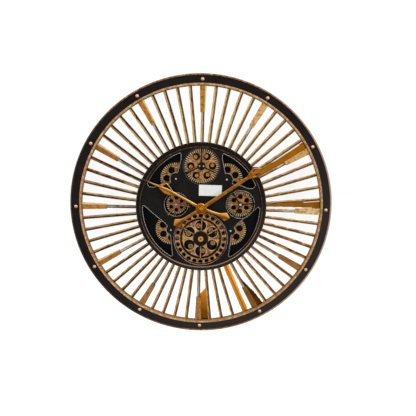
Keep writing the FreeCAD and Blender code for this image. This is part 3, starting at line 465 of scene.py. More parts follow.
def matte_paint(name, dark, light, grain=0.8, cloud=30.0, specular=0.05,
                edge=None, lit_side=None, wall=None):
    """Baked black paint: a faint cloudiness, fine grit and, on corners, rubbed-through metal.

    faded is (clock angle, colour) of the side painted paler as painted light; wall is (radius, height,
    colour) of an inner wall that has another coat above the height.
    """
    made = Finish(name, specular=specular)
    cloudy = made.noise(cloud, 5.0, 0.65)
    grit = made.noise(grain, 3.0, 0.7, offset=0.31)
    made.base = made.shades(made.weigh(cloudy, 0.6, grit), 0.36, 0.64, dark, light)
    if edge:
        worn = made.times(made.edges(0.8), made.spread(made.noise(7.0, offset=0.7), 0.42, 0.62))
        made.over(worn, edge)
    if lit_side:
        # Painted light: the side toward the clock angle is painted paler.
        _, angle = made.polar()
        grey = made.spread(made.toward(angle, lit_side[0]), -0.2, 1.0, 0.0, 0.6)
        made.over(grey, lit_side[1])
    if wall:
        radius, _ = made.polar()
        above = made.maths("GREATER_THAN", made.level(), wall[1] * MM)
        coat = made.times(made.spread(radius, (wall[0] + 0.3) * MM, wall[0] * MM), above)
        made.over(coat, wall[2])
    return made.done(grit, (0.62, 0.8), grit, 0.25, 0.12)


def antique_metal(name, dark, middle, light, grain=3.0, rough=(0.36, 0.58), edge=0.55, shift=0.0,
                  dirt_and_shade_reach=None, shade_below=None, lit=False, dim=None):
    """Gilded metal under a brown wash, brighter where it is rubbed and black in its recesses with soiling
    and painted shade.

    shade_below is a height that everything under is painted black as shade, lit paints a highlight on the
    sides that face up and right, and dim is (centre, radius) of a round opening whose lip is painted dark
    as shade.
    """
    made = Finish(name, metallic=0.55)
    patches = made.noise(grain, 5.0, 0.62, offset=shift + 0.11)
    grit = made.noise(grain * 0.22, 3.0, 0.7, offset=shift + 0.53)
    both = made.weigh(patches, 0.7, grit)
    made.base = made.shades(both, 0.34, 0.66, dark, middle, light)
    if edge:
        made.over(made.times(made.edges(0.6), edge), light)
    if lit:
        # Painted highlight on the sides that face up and right.
        light_facing = made.dot(made.rounded_normal(1.4), (0.6, 0.0, 0.8))
        made.over(made.spread(light_facing, -0.05, 0.32, 0.0, 0.9), (250, 240, 230))
    if dim:
        # Painted shade on the lip of the round opening.
        reach, _ = made.polar(dim[0])
        near = made.spread(reach, (dim[1] + 2.0) * MM, dim[1] * MM, 0.0, 0.75)
        made.over(near, (44, 36, 30))
    if dirt_and_shade_reach:
        # Soiling and painted shade in the recesses.
        made.darken_dirt_and_shade(made.recess_dirt_and_shade(dirt_and_shade_reach))
    if shade_below:
        # Painted shade: black below the height.
        above = made.spread(made.level(), (shade_below + 0.1) * MM, (shade_below + 0.3) * MM)
        made.darken_dirt_and_shade(above)
    return made.done(patches, (rough[1], rough[0]), both, 0.35, 0.25)


# ---------------------------------------------------------------- materials

# Where the hands and their tails point.
HOUR_BEARING = 151.0
HOUR_TAIL_BEARING = -18.6
MINUTE_BEARING = 34.8
MINUTE_TAIL_BEARING = 213.4

# The ray whose bar is painted with the same warm reflection as the glass beside it.
REFLECTION_BAR = 26


# A bar's gilding from its left side to its right one, painted light: lit on the first side and in painted
# shade on the second.
BAR_TONES = (
    (0.05, tone(246, 208, 146)),
    (0.28, tone(216, 156, 78)),
    (0.54, tone(138, 88, 34)),
    (0.72, tone(62, 38, 14)),
    (0.95, tone(150, 108, 60)),
)


def bar_sides(made, across, turn, blotches, streaks):
    """Gilds a bar with painted light, lit on one side and shaded on the other, and gives 0 to 1 from its
    left side to its right one.
    """
    side = made.spread(made.toward(turn, 20.0), -0.3, 0.3, -1.0, 1.0)
    wander = made.times(made.minus(blotches, 0.5), 0.008)
    lee = made.plus(made.times(across, side), wander)
    place = made.spread(lee, -BAR_HALF * MM, BAR_HALF * MM)
    made.base = made.ramp(place, *BAR_TONES)
    made.over(made.spread(streaks, 0.56, 0.36, 0.0, 0.6), (84, 52, 22))
    # Pale streaks are painted glints.
    made.over(made.spread(streaks, 0.56, 0.72, 0.0, 0.6), (246, 214, 160))
    return place


def bar_wash_and_shade(made, place, turn, number, blotches):
    """A dark wash, thickened as painted shade on the left bars and on every bar's right side, and thinnest
    on the top bars, which get a painted highlight.
    """
    each = made.node("ShaderNodeTexWhiteNoise", noise_dimensions="1D")
    made.feed(each.inputs["W"], made.plus(number, 40.0))
    amount = made.spread(each.outputs["Value"], 0.0, 1.0, 0.2, 0.75)
    wash = made.times(made.spread(blotches, 0.60, 0.44), amount)
    # Painted shade: the wash is thickest on the left bars.
    left = made.spread(made.toward(turn, -80.0), 0.0, 0.8, 0.3, 1.0)
    made.over(made.times(wash, left), (44, 25, 9))
    # Painted highlight on the lit side of the top bars.
    top = made.spread(made.toward(turn, 0.0), 0.5, 0.9, 0.0, 0.45)
    top = made.times(top, made.spread(place, 0.62, 0.30))
    made.over(top, (252, 220, 150))
    # Painted shade on the right side of the left bars.
    lower = made.times(made.spread(place, 0.45, 0.72), made.spread(left, 0.35, 1.0, 0.0, 0.8))
    made.over(lower, (40, 22, 8))


def bar_finish(name, silver=0.0):
    """Bronze bars, painted lit gold on one side and in shade on the other under a dark wash, no two quite
    alike.

    silver is how strong a painted silver glint in an hour bar's groove is near the rim.
    """
    made = Finish(name, metallic=0.5)
    across, radius, number = made.sunburst()
    streaks = made.noise(2.0, 4.0, 0.6, made.along_ray(across, radius, number, 0.16))
    blotches = made.noise(11.0, 4.0, 0.65, made.along_ray(across, radius, number, 0.4), offset=0.4)
    hammer = made.noise(2.6, 3.0, 0.6, offset=0.9)
    turn = made.times(number, math.radians(MINUTE_STEP))
    place = bar_sides(made, across, turn, blotches, streaks)
    bar_wash_and_shade(made, place, turn, number, blotches)
    if silver:
        # Painted highlight: a silver glint in the groove near the rim.
        groove = made.spread(made.maths("ABSOLUTE", across), 0.0017, 0.0011)
        groove_glint = made.times(groove, made.spread(radius, 0.165, 0.212, 0.15, silver))
        steel = made.shades(blotches, 0.40, 0.56, (120, 114, 106), (232, 228, 220))
        made.over(groove_glint, steel)
    # Painted reflection: one bar carries the warm reflection of the glass beside it.
    painted_reflection = made.maths("COMPARE", number, float(REFLECTION_BAR), 0.1)
    made.over(made.times(painted_reflection, 0.85), (226, 146, 34))
    return made.done(streaks, (0.6, 0.34), hammer, 0.5, 0.35)


# Hour plates from seven o'clock round to six: face colour, each plate's own tone with painted light and
# shade in it.
PLATE_TONES = (
    tone(176, 126, 62),
    tone(180, 122, 50),
    tone(206, 142, 58),
    tone(186, 116, 34),
    tone(212, 144, 56),
    tone(214, 148, 54),
    tone(248, 196, 124),
    tone(240, 188, 116),
    tone(255, 218, 152),
    tone(168, 112, 48),
    tone(134, 88, 38),
    tone(186, 132, 72),
)


def plate_tone(made, number):
    """The face colour of the plate on a ray, painted light and shade included."""
    order = made.maths("DIVIDE", made.plus(number, 5.0), 12.0)
    order = made.plus(made.maths("FRACT", order), 0.5 / 12.0)
    stops = [(index / 12.0, colour) for index, colour in enumerate(PLATE_TONES)]
    return made.ramp(order, *stops, blend="CONSTANT")


def plate_finish():
    """Hour plates: gold leaf, brushed along the ray and lightly hammered, each a little different, some
    with a painted highlight on one side.
    """
    made = Finish("gold_leaf", metallic=0.6)
    across, radius, number = made.sunburst(30.0)
    brushed = made.noise(0.9, 4.0, 0.7, made.along_ray(across, radius, number, 0.09))
    leaf = made.noise(7.0, 4.0, 0.6, made.along_ray(across, radius, number, 0.8), offset=0.2)
    hammer = made.noise(1.3, 2.0, 0.5, offset=0.6)
    grain = made.weigh(brushed, 0.6, hammer)
    made.base = plate_tone(made, number)
    made.over(made.spread(grain, 0.55, 0.38, 0.0, 0.6), (122, 74, 24))
    made.over(made.spread(grain, 0.52, 0.70, 0.0, 0.6), (250, 214, 150))
    made.over(made.spread(leaf, 0.52, 0.38, 0.0, 0.55), (122, 70, 20))
    # From eight to twelve o'clock the clockwise flank gets a painted highlight.
    shining = made.times(made.maths("LESS_THAN", number, 0.5), made.maths("GREATER_THAN", number, -4.5))
    flank = made.times(shining, made.spread(across, 0.0034, 0.0050))
    made.over(made.times(flank, 0.85), (255, 232, 176))
    relief = made.plus(brushed, made.times(hammer, 0.8))
    return made.done(brushed, (0.5, 0.3), relief, 0.45, 0.25)


# Painted warm reflection in the glass, from its darkest to its brightest shade.
REFLECTION_TONES = (
    (0.0, tone(62, 31, 2, 1.0)),
    (0.25, tone(112, 64, 8, 1.0)),
    (0.5, tone(172, 105, 16, 1.0)),
    (0.9, tone(232, 156, 42, 1.0)),
)


def mirror_finish():
    """Silvered strips; a few carry a painted warm reflection."""
    made = Finish("mirror_glass", metallic=1.0)
    haze = made.noise(26.0, 3.0, 0.5)
    silver = made.ramp(haze, (0.35, (0.90, 0.905, 0.90, 1.0)), (0.65, (0.97, 0.97, 0.965, 1.0)))
    amount = made.node("ShaderNodeAttribute", attribute_name="reflection_share")
    shade = made.node("ShaderNodeAttribute", attribute_name="reflection_shade")
    grain = made.noise(30.0, 4.0, 0.6, offset=0.5)
    cloud = made.times(made.minus(grain, 0.5), 0.35)
    # Painted reflection: the warm colour over part of some strips.
    warm = made.ramp(made.plus(shade.outputs["Fac"], cloud), *REFLECTION_TONES)
    made.base = made.mix(made.spread(amount.outputs["Fac"], 0.0, 0.9), silver, warm)
    waves = made.noise(40.0, 2.0, 0.4, offset=0.8)
    return made.done(haze, (0.03, 0.07), waves, 0.03, 0.3)


def gear_finish(name, centre, rim_r, ribs, shift, warm=False, shaded=False):
    """Gilded gear with a brown wash, black recesses of soiling and painted shade, and a paler ribbed band
    inside its teeth.

    The band starts at rim_r.  A warm gear is redder and a shaded one gets painted shade behind the dial's
    edges.
    """
    made = Finish(name, metallic=0.5)
    radius, angle = made.polar(centre)
    patches = made.noise(4.2, 5.0, 0.65, offset=shift)
    grit = made.noise(0.8, 3.0, 0.7, offset=shift + 0.4)
    both = made.weigh(patches, 0.7, grit)
    if warm:
        made.base = made.shades(both, 0.36, 0.64, (88, 42, 22), (160, 98, 62), (216, 160, 114))
    else:
        made.base = made.shades(both, 0.38, 0.62, (84, 50, 24), (176, 122, 70), (232, 180, 118))
    band = made.spread(radius, (rim_r - 1.0) * MM, (rim_r + 0.4) * MM)
    wave = made.maths("SINE", made.times(angle, float(ribs)))
    pale = made.shades(both, 0.38, 0.62, (150, 116, 82), (246, 214, 168))
    pale = made.mix(made.spread(wave, -0.25, 0.35), tone(44, 29, 18), pale)
    made.over(band, pale)
    made.over(made.line(radius, (rim_r - 1.2) * MM, 0.0008, 0.0002, 0.7), (56, 34, 20))
    # Rubbed edges, brightened further as a painted highlight.
    made.over(made.times(made.edges(0.5), 0.45), (246, 208, 158))
    # Soiling and painted shade in recesses.
    made.darken_dirt_and_shade(made.recess_dirt_and_shade(2.2, 0.30, 0.72))
    if shaded:
        # Painted shade behind the dial's edges.
        made.darken_dirt_and_shade(made.recess_dirt_and_shade(14.0, 0.34, 0.62))
    relief = made.times(made.times(wave, band), 0.8)
    return made.done(patches, (0.6, 0.4), made.plus(both, relief), 0.4, 0.4)


BOTTOM_CENTRE = (0.0, -73.0)
TOP_CENTRE = (middle_of("top_gear").x / MM, middle_of("top_gear").z / MM)

# Rings about the bottom centre: how many, how far out, and the bearing of one of them.
RING_SLOTS = (24, 54.8, 270.0)
DISC_HOLES = (6, 30.5, 30.0)
SMALL_DISCS = (6, 30.5, 40.0)


def ring_finish():
    """Slotted ring and spokes: pale gold with black lines at the ring's inner edge, and painted shade
    round its slots.
    """
    made = Finish("ring_gold", metallic=0.5)
    radius, _ = made.polar(BOTTOM_CENTRE)
    patches = made.noise(4.0, 5.0, 0.65, offset=0.9)
    grit = made.noise(0.9, 3.0, 0.7, offset=1.2)
    both = made.weigh(patches, 0.65, grit)
    made.base = made.shades(both, 0.38, 0.62, (94, 58, 30), (182, 130, 82), (236, 190, 134))
    # Painted shade round the slots.
    slot = made.from_hole(BOTTOM_CENTRE, *RING_SLOTS)
    dark = tone(26, 17, 10)
    made.over(made.spread(slot, 0.0060, 0.0044, 0.0, 0.8), dark)
    for line_r, half in ((47.9, 0.9), (60.6, 0.8)):
        line = made.line(radius, line_r * MM, (half + 0.4) * MM, half * 0.5 * MM, 0.85)
        made.over(line, dark)
    # Rubbed edges, brightened further as a painted highlight.
    made.over(made.times(made.edges(0.5), 0.4), (244, 204, 152))
    # Soiling and painted shade in recesses.
    made.darken_dirt_and_shade(made.recess_dirt_and_shade(2.4))
    return made.done(patches, (0.58, 0.4), both, 0.4, 0.4)


def disc_finish():
    """Six-hole disc: gold with darker patches, a painted highlight near the hub, and painted shadow round
    its holes and under the ring.
    """
    made = Finish("disc_gold", metallic=0.5)
    radius, _ = made.polar(BOTTOM_CENTRE)
    patches = made.noise(6.0, 5.0, 0.65, offset=0.3)
    grit = made.noise(1.2, 3.0, 0.7, offset=0.7)
    both = made.weigh(patches, 0.7, grit)
    made.base = made.shades(both, 0.38, 0.62, (64, 38, 18), (150, 102, 58), (232, 180, 120))
    # Painted highlight near the hub.
    inner = made.spread(radius, 0.027, 0.019, 0.0, 0.6)
    made.over(inner, (236, 188, 130))
    hole = made.from_hole(BOTTOM_CENTRE, *DISC_HOLES)
    made.over(made.line(hole, 0.0137, 0.0010, 0.0003, 0.7), (244, 204, 156))
    # Painted shadow round the holes and under the ring.
    shadow = tone(20, 14, 10)
    made.over(made.spread(hole, 0.0132, 0.0120, 0.0, 0.9), shadow)
    made.over(made.spread(radius, 0.0424, 0.0438, 0.0, 0.9), shadow)
    # Soiling and painted shade in recesses.
    made.darken_dirt_and_shade(made.recess_dirt_and_shade(2.4))
    return made.done(patches, (0.6, 0.4), both, 0.4, 0.4)


def planet_finish():
    """Small discs in the holes: gold rings with a dark middle."""
    made = Finish("planet_gold", metallic=0.5)
    middle = made.from_hole(BOTTOM_CENTRE, *SMALL_DISCS)
    patches = made.noise(2.4, 5.0, 0.65, offset=0.5)
    made.base = made.shades(patches, 0.36, 0.62, (140, 92, 50), (234, 186, 128))
    made.over(made.spread(middle, 0.0018, 0.0009, 0.0, 0.9), (66, 34, 22))
    made.over(made.line(middle, 0.0034, 0.0008, 0.0002, 0.6), (70, 44, 26))
    # Soiling and painted shade in recesses.
    made.darken_dirt_and_shade(made.recess_dirt_and_shade(1.6))
    return made.done(patches, (0.55, 0.35), patches, 0.35, 0.3)


def arbor_finish():
    """Turned brass end with a dark centre mark."""
    made = Finish("arbor_brass", metallic=0.9)
    radius, _ = made.polar(BOTTOM_CENTRE)
    marks = made.noise(1.2, 4.0, 0.6)
    made.base = made.shades(marks, 0.35, 0.65, (190, 136, 50), (234, 184, 84))
    made.over(made.spread(radius, 0.0021, 0.0013), (44, 30, 12))
    return made.done(marks, (0.25, 0.45), marks, 0.15, 0.06)


def bead_finish():
    """Copper beads: the inner one paler, the outer one in painted shade on the left and with a painted
    highlight on the right.
    """
    made = Finish("copper_bead", metallic=0.45)
    radius, angle = made.polar()
    patches = made.noise(6.0, 5.0, 0.62, offset=0.11)
    grit = made.noise(1.4, 3.0, 0.7, offset=0.53)
    both = made.weigh(patches, 0.7, grit)
    inner = made.shades(both, 0.34, 0.66, (132, 88, 52), (196, 148, 100), (246, 214, 170))
    made.base = made.shades(both, 0.34, 0.66, (92, 58, 34), (150, 102, 64), (206, 160, 112))
    # Painted shade on the left and a painted highlight on the right of the outer bead.
    made.over(made.spread(made.toward(angle, 255.0), 0.25, 0.75, 0.0, 0.85), (56, 42, 33))
    made.over(made.spread(made.toward(angle, 95.0), 0.3, 0.9, 0.0, 0.7), (206, 182, 156))
    made.base = made.mix(made.spread(radius, 0.286, 0.290), inner, made.base)
    return made.done(patches, (0.6, 0.34), both, 0.35, 0.25)


def bezel_finish():
    """Bronze line on the drum's front, with a painted highlight at the bottom."""
    made = Finish("bezel_bronze", metallic=0.5)
    _, angle = made.polar()
    patches = made.noise(9.0, 5.0, 0.62, offset=0.11)
    made.base = made.shades(patches, 0.34, 0.66, (38, 27, 20), (82, 59, 43), (128, 94, 67))
    # Painted highlight toward the bottom.
    low = made.spread(made.toward(angle, 170.0), 0.1, 0.9, 0.0, 0.85)
    made.over(low, (176, 142, 110))
    return made.done(patches, (0.65, 0.4), patches, 0.35, 0.25)


def rivet_finish():
    """Domed copper rivets, with a painted highlight on top and painted shade below, soiling and painted
    shade in the dimple.
    """
    made = Finish("rivet_copper", metallic=0.45)
    patches = made.noise(2.0, 5.0, 0.62, offset=0.11)
    made.base = made.shades(patches, 0.34, 0.66, (176, 122, 80), (240, 204, 164))
    # Painted highlight on top and painted shade below.
    light_facing = made.facing((0.2, 0.0, 1.0))
    made.over(made.spread(light_facing, 0.05, 0.45, 0.0, 0.8), (252, 232, 206))
    made.over(made.spread(light_facing, -0.08, -0.5, 0.0, 0.8), (134, 84, 44))
    # Soiling and painted shade in the dimple.
    made.darken_dirt_and_shade(made.recess_dirt_and_shade(1.6, 0.3, 0.9), (96, 60, 34))
    return made.done(patches, (0.5, 0.34), patches, 0.3, 0.2)


# Radii of the dark rings painted on the hands' cap as the shade of its turned grooves.
BOSS_RINGS = (5.3, 8.7)


def tail_light_and_shade(made, bone, tail_lit_side, tail_highlight):
    """A painted highlight on the upper half and painted shade in the brown hollow of a hand's flared tail.
    """
    along, across = made.along_bearing(bone)
    across = made.times(across, tail_lit_side)
    flare = made.spread(along, 0.042, 0.050)
    # Painted highlight on the upper half.
    top = made.times(flare, made.spread(across, 0.0008, 0.0050, 0.0, tail_highlight))
    made.over(top, (248, 190, 96))
    # Painted shade in the hollow.
    hollow = made.line(across, -0.0030, 0.0042, 0.0016, 0.75)
    made.over(made.times(flare, hollow), (92, 50, 8))


def hand_finish(name, dark, middle, light, bone, tail_lit_side, tail_highlight, tarnish_r=None):
    """Orange gold castings, with a painted highlight on their upper flanks and painted shade underneath.

    bone is the bearing of the tail, tail_lit_side which of its sides, 1 or -1, gets a painted highlight
    and tail_highlight how strong it is.
    Past tarnish_r the thin needle has gone dark.
    """
    made = Finish(name, metallic=0.6)
    patches = made.noise(9.0, 5.0, 0.6, offset=0.2)
    grit = made.noise(1.0, 3.0, 0.7, offset=0.5)
    both = made.weigh(patches, 0.75, grit)
    made.base = made.shades(both, 0.34, 0.66, dark, middle, light)
    # Painted highlight on the upper flanks and painted shade underneath.
    light_facing = made.facing((0.50, 0.0, 0.86))
    radius, _ = made.polar()
    sheen = made.mix(made.spread(radius, 0.0125, 0.0145), tone(250, 168, 60), tone(255, 214, 146))
    made.over(made.spread(light_facing, 0.10, 0.55, 0.0, 0.9), sheen)
    made.over(made.spread(light_facing, -0.02, -0.42, 0.0, 0.92), (70, 33, 5))
    tail_light_and_shade(made, bone, tail_lit_side, tail_highlight)
    # Painted shade of the cap's grooves.
    for ring_r in BOSS_RINGS:
        made.over(made.line(radius, ring_r * MM, 0.0011, 0.0004, 0.8), (70, 32, 2))
    # Soiling and painted shade in the creases.
    made.darken_dirt_and_shade(made.recess_dirt_and_shade(2.0, 0.25, 0.8), (70, 34, 4))
    if tarnish_r:
        tip = made.spread(radius, tarnish_r * MM, (tarnish_r + 10.0) * MM, 0.0, 0.8)
        made.over(tip, (48, 30, 14))
    return made.done(both, (0.5, 0.3), both, 0.5, 0.35)


def plastic(name, dark, light, specular=0.35, rough=(0.4, 0.55)):
    """Moulded plastic with a fine spark-eroded texture."""
    made = Finish(name, specular=specular)
    spark = made.noise(0.5, 2.0, 0.6)
    cloud = made.noise(24.0, 3.0, 0.5, offset=0.3)
    made.base = made.shades(cloud, 0.35, 0.65, dark, light)
    return made.done(spark, rough, spark, 0.2, 0.08)


def bright_metal(name, dark, light, grain=1.6):
    """Plated or turned metal with faint tool marks."""
    made = Finish(name, metallic=0.95)
    marks = made.noise(grain, 4.0, 0.6)
    cloud = made.noise(grain * 6, 3.0, 0.5, offset=0.4)
    made.base = made.shades(cloud, 0.35, 0.65, dark, light)
    return made.done(marks, (0.22, 0.42), marks, 0.15, 0.06)


def paper_finish():
    """Blank white label paper with a faint fibre."""
    made = Finish("paper", specular=0.2)
    fibre = made.noise(0.7, 4.0, 0.7)
    cloud = made.noise(9.0, 3.0, 0.5, offset=0.4)
    made.base = made.shades(cloud, 0.35, 0.65, (234, 234, 232), (246, 246, 244))
    return made.done(fibre, (0.7, 0.9), fibre, 0.2, 0.05)


def floor_finish():
    """Plain pale studio floor."""
    made = Finish("studio_floor", specular=0.1)
    cloud = made.noise(900.0, 3.0, 0.5)
    made.colour(made.ramp(cloud, (0.3, (0.93, 0.93, 0.93, 1.0)), (0.7, (0.96, 0.96, 0.96, 1.0))))
    made.rough(made.spread(cloud, 0.3, 0.7, 0.8, 0.95))
    return made.material


finishes = {
    "rim_black": matte_paint("rim_black", (18, 15, 14), (36, 31, 30), grain=1.1, cloud=45.0,
                             lit_side=(140.0, (56, 51, 49)), wall=(274.1, 34.0, (178, 132, 86))),
    "copper_edge": bead_finish(),
    "rivet_copper": rivet_finish(),
    "rubber": matte_paint("rubber", (24, 24, 24), (38, 38, 38), specular=0.3),
    "backing": matte_paint("backing", (20, 20, 20), (34, 33, 32)),
    "mirror": mirror_finish(),
    "bar_bronze": bar_finish("bar_bronze"),
    "hour_bar": bar_finish("hour_bar", silver=0.9),
    "gold_leaf": plate_finish(),
    "drum_black": matte_paint("drum_black", (13, 11, 9), (31, 26, 22), grain=1.4, cloud=12.0,
                              edge=(88, 66, 48), lit_side=(160.0, (54, 46, 40))),
    "bezel_bronze": bezel_finish(),
    "dial_black": matte_paint("dial_black", (16, 15, 14), (32, 30, 28), grain=1.3, cloud=26.0),
    "trim_grey": antique_metal("trim_grey", (56, 44, 36), (92, 76, 64), (138, 122, 108), grain=5.0,
                               rough=(0.4, 0.65), edge=0.0, lit=True, dim=(TOP_CENTRE, 44.0)),
    "sheet_black": matte_paint("sheet_black", (10, 10, 10), (20, 20, 20), cloud=40.0),
    "zinc": bright_metal("zinc", (176, 172, 166), (224, 222, 216)),
    "steel": bright_metal("steel", (190, 178, 166), (236, 226, 214)),
    "paper": paper_finish(),
    "bridge_black": matte_paint("bridge_black", (14, 12, 11), (34, 29, 26), grain=1.0, cloud=9.0,
                                edge=(84, 62, 44)),
    "bridge_bronze": antique_metal("bridge_bronze", (84, 58, 38), (140, 102, 68), (196, 154, 110),
                                   grain=4.0),
    "brass": bright_metal("brass", (176, 124, 44), (222, 170, 76)),
    "black_plastic": plastic("black_plastic", (13, 13, 14), (24, 24, 26), specular=0.2),
    "white_plastic": plastic("white_plastic", (222, 222, 216), (238, 238, 232)),
    "motor_steel": bright_metal("motor_steel", (160, 160, 158), (206, 206, 204)),
    "copper_coil": bright_metal("copper_coil", (150, 76, 34), (206, 116, 60), grain=0.5),
    "cell_sleeve": plastic("cell_sleeve", (28, 78, 48), (42, 104, 64), specular=0.5, rough=(0.2, 0.35)),
    "wire_black": plastic("wire_black", (20, 20, 20), (34, 34, 34)),
    "hand_bronze": hand_finish("hand_bronze", (140, 78, 8), (190, 116, 18), (224, 150, 44),
                               HOUR_TAIL_BEARING, 1.0, 0.75, tarnish_r=128.0),
    "minute_bronze": hand_finish("minute_bronze", (112, 60, 4), (164, 96, 10), (200, 130, 26),
                                 MINUTE_TAIL_BEARING, -1.0, 0.45),
    "gear_gold": antique_metal("gear_gold", (80, 48, 24), (178, 124, 74), (236, 184, 126), grain=4.0,
                               dirt_and_shade_reach=2.4),
    "ring_gold": ring_finish(),
    "disc_gold": disc_finish(),
    "planet_gold": planet_finish(),
    "arbor_brass": arbor_finish(),
    "wheel_dark": antique_metal("wheel_dark", (96, 58, 30), (180, 124, 70), (226, 176, 116), grain=3.0,
                                dirt_and_shade_reach=2.0, shade_below=30.2, shift=0.6),
}

# Wheels behind the show wheels are painted black as shade except for the small rollers on their fronts.
NODE_FINISHES = {
    "hour_bars": "hour_bar",
    "bottom_gear": "ring_gold",
    "bottom_disc": "disc_gold",
    "bottom_planets": "planet_gold",
    "bottom_arbor": "arbor_brass",
    "top_wheel": "wheel_dark",
    "bottom_wheel": "wheel_dark",
}

# Gear: (radius where the ribbed band begins, number of ribs).
GEAR_BANDS = {
    "corner_gear_upper_left": (30.6, 45),
    "corner_gear_upper_right": (30.6, 45),
    "corner_gear_lower_left": (30.6, 45),
    "corner_gear_lower_right": (30.6, 45),
    "top_gear": (33.0, 49),
    "left_gear": (19.0, 29),
    "right_gear": (24.2, 37),
}


def dress_cad_nodes():
    for subpart in frame["record"]["subparts"]:
        node = subpart["node"]
        material = finishes[subpart["material_slot"]]
        if node in NODE_FINISHES:
            material = finishes[NODE_FINISHES[node]]
        if node in GEAR_BANDS:
            middle = middle_of(node) / MM
            shift = 0.2 * sorted(GEAR_BANDS).index(node)
            warm = node == "left_gear"
            rim_r, ribs = GEAR_BANDS[node]
            shaded = node.startswith("corner_gear_lower")
            material = gear_finish(node + "_gold", (middle.x, middle.z), rim_r, ribs, shift, warm, shaded)
        for slot in nodes[node].material_slots:
            slot.material = material


def soften(node, width):
    """Rounds a CAD node's sharp corners in the render."""
    piece = nodes[node]
    weld = piece.modifiers.new("weld", "WELD")
    weld.merge_threshold = 0.00001
    bevel = piece.modifiers.new("rounded_edges", "BEVEL")
    bevel.width = width * MM
    bevel.segments = 2
    bevel.limit_method = "ANGLE"
    bevel.angle_limit = math.radians(32.0)
    bevel.use_clamp_overlap = True


# ---------------------------------------------------------------- mirror strips

# Each strip's border slopes down by GLASS_DROP over GLASS_BEVEL, and its face lies GLASS_SINK deep.
GLASS_BEVEL = 1.1
GLASS_DROP = 0.45
GLASS_SINK = 0.1
GLASS_TILT = math.radians(0.25)
GLASS_END_GAP = 0.2
GLASS_SIDE_GAP = 0.25
GLASS_ROWS = 44
GLASS_COLUMNS = 16

# Strips painted with a warm reflection: clockwise angle of the strip's start, and the reflection's edges
# as
# (reach, share across the strip) pairs from the strip's left edge (0) to its right edge (1),
# then its shade at the drum and at the rim, from dark (0) to bright (1).
REFLECTION_STRIPS = (
    (54.0, ((156, 0.10), (215, 0.16), (274, 0.12)), ((156, 1.0), (215, 1.0), (274, 1.0)), 0.46, 0.34),
    (84.0, ((149, 0.0), (210, 0.04), (274, 0.09)), ((149, 0.45), (210, 0.62), (274, 0.80)), 0.42, 0.30),
    (150.0, ((149, 0.35), (215, 0.62), (274, 0.70)), ((149, 1.0), (215, 1.0), (274, 1.0)), 0.95, 0.55),
    (144.0, ((196, 0.90), (236, 0.34), (274, 0.18)), ((196, 0.95), (240, 0.92), (274, 0.92)), 0.0, 0.06),
    (174.0, ((192, 0.04), (200, 0.03), (274, 0.02)), ((192, 0.06), (206, 0.98), (274, 0.90)), 0.62, 0.12),
)


def between(points, reach):
    """A piecewise straight line through (reach, value) points."""
    if reach <= points[0][0]:
        return None if reach < points[0][0] else points[0][1]
    for (start, first), (end, second) in zip(points, points[1:]):
        if reach <= end:
            return first + (second - first) * (reach - start) / (end - start)
    return points[-1][1]


def reflection_values(strip, reach, share):
    """(share of painted reflection, its shade) of a point on a strip."""
    for start, left, right, shade_in, shade_out in REFLECTION_STRIPS:
        if abs(start - strip * MINUTE_STEP) > 0.1:
            continue
        low = between(left, reach)
        high = between(right, reach)
        if low is None or high is None or not low - 0.001 <= share <= high + 0.001:
            return 0.0, 0.5
        along = (reach - left[0][0]) / (RIM_INNER_R - left[0][0])
        return 1.0, shade_in + (shade_out - shade_in) * along
    return 0.0, 0.5


def ray_reach(clock, radius):
    """Distance along a ray from the sunburst's middle to a circle about the clock's middle."""
    angle = math.radians(clock)
    along = SUNBURST_MIDDLE[0] * math.sin(angle) + SUNBURST_MIDDLE[1] * math.cos(angle)
    square = SUNBURST_MIDDLE[0] ** 2 + SUNBURST_MIDDLE[1] ** 2
    return math.sqrt(radius ** 2 - square + along ** 2) - along


def even_steps(start, end, count, border):
    """Even steps from start to end, but with a first and a last one as wide as the border."""
    steps = [start + (end - start) * index / count for index in range(count + 1)]
    steps[1] = start + border
    steps[-2] = end - border
    return steps


def glass_point(clock, reach, aside, height):
    """A point on a strip, reach along the strip's middle line and aside clockwise of it."""
    angle = math.radians(90.0 - clock)
    east, north = math.cos(angle), math.sin(angle)
    x = SUNBURST_MIDDLE[0] + east * reach + north * aside
    z = SUNBURST_MIDDLE[1] + north * reach - east * aside
    return spot(x, z, height)


def strip_grid(bm, layers, strip, front):
    """Points of a strip's front, tilted by a hair and lower along its border."""
    clock = MINUTE_STEP * (strip + 0.5) + SUNBURST_TURN
    half_step = math.radians(MINUTE_STEP / 2)
    inner = ray_reach(clock, BAR_INNER_R) + GLASS_END_GAP
    outer = ray_reach(clock, BAR_OUTER_R) - GLASS_END_GAP
    lean = math.tan(random.uniform(-GLASS_TILT, GLASS_TILT))
    grid = []
    for row, reach in enumerate(even_steps(inner, outer, GLASS_ROWS, GLASS_BEVEL)):
        half = reach * math.tan(half_step) - (BAR_HALF + GLASS_SIDE_GAP) / math.cos(half_step)
        line = []
        shares = even_steps(0.0, 1.0, GLASS_COLUMNS, GLASS_BEVEL / (2 * half))
        for column, share in enumerate(shares):
            aside = (share * 2 - 1) * half
            border = row in (0, GLASS_ROWS) or column in (0, GLASS_COLUMNS)
            height = front - (GLASS_DROP if border else 0.0) + aside * lean
            vert = bm.verts.new(glass_point(clock, reach, aside, height))
            # Share and shade of the painted reflection at this point.
            vert[layers[0]], vert[layers[1]] = reflection_values(strip, reach, share)
            line.append(vert)
        grid.append(line)
    return grid


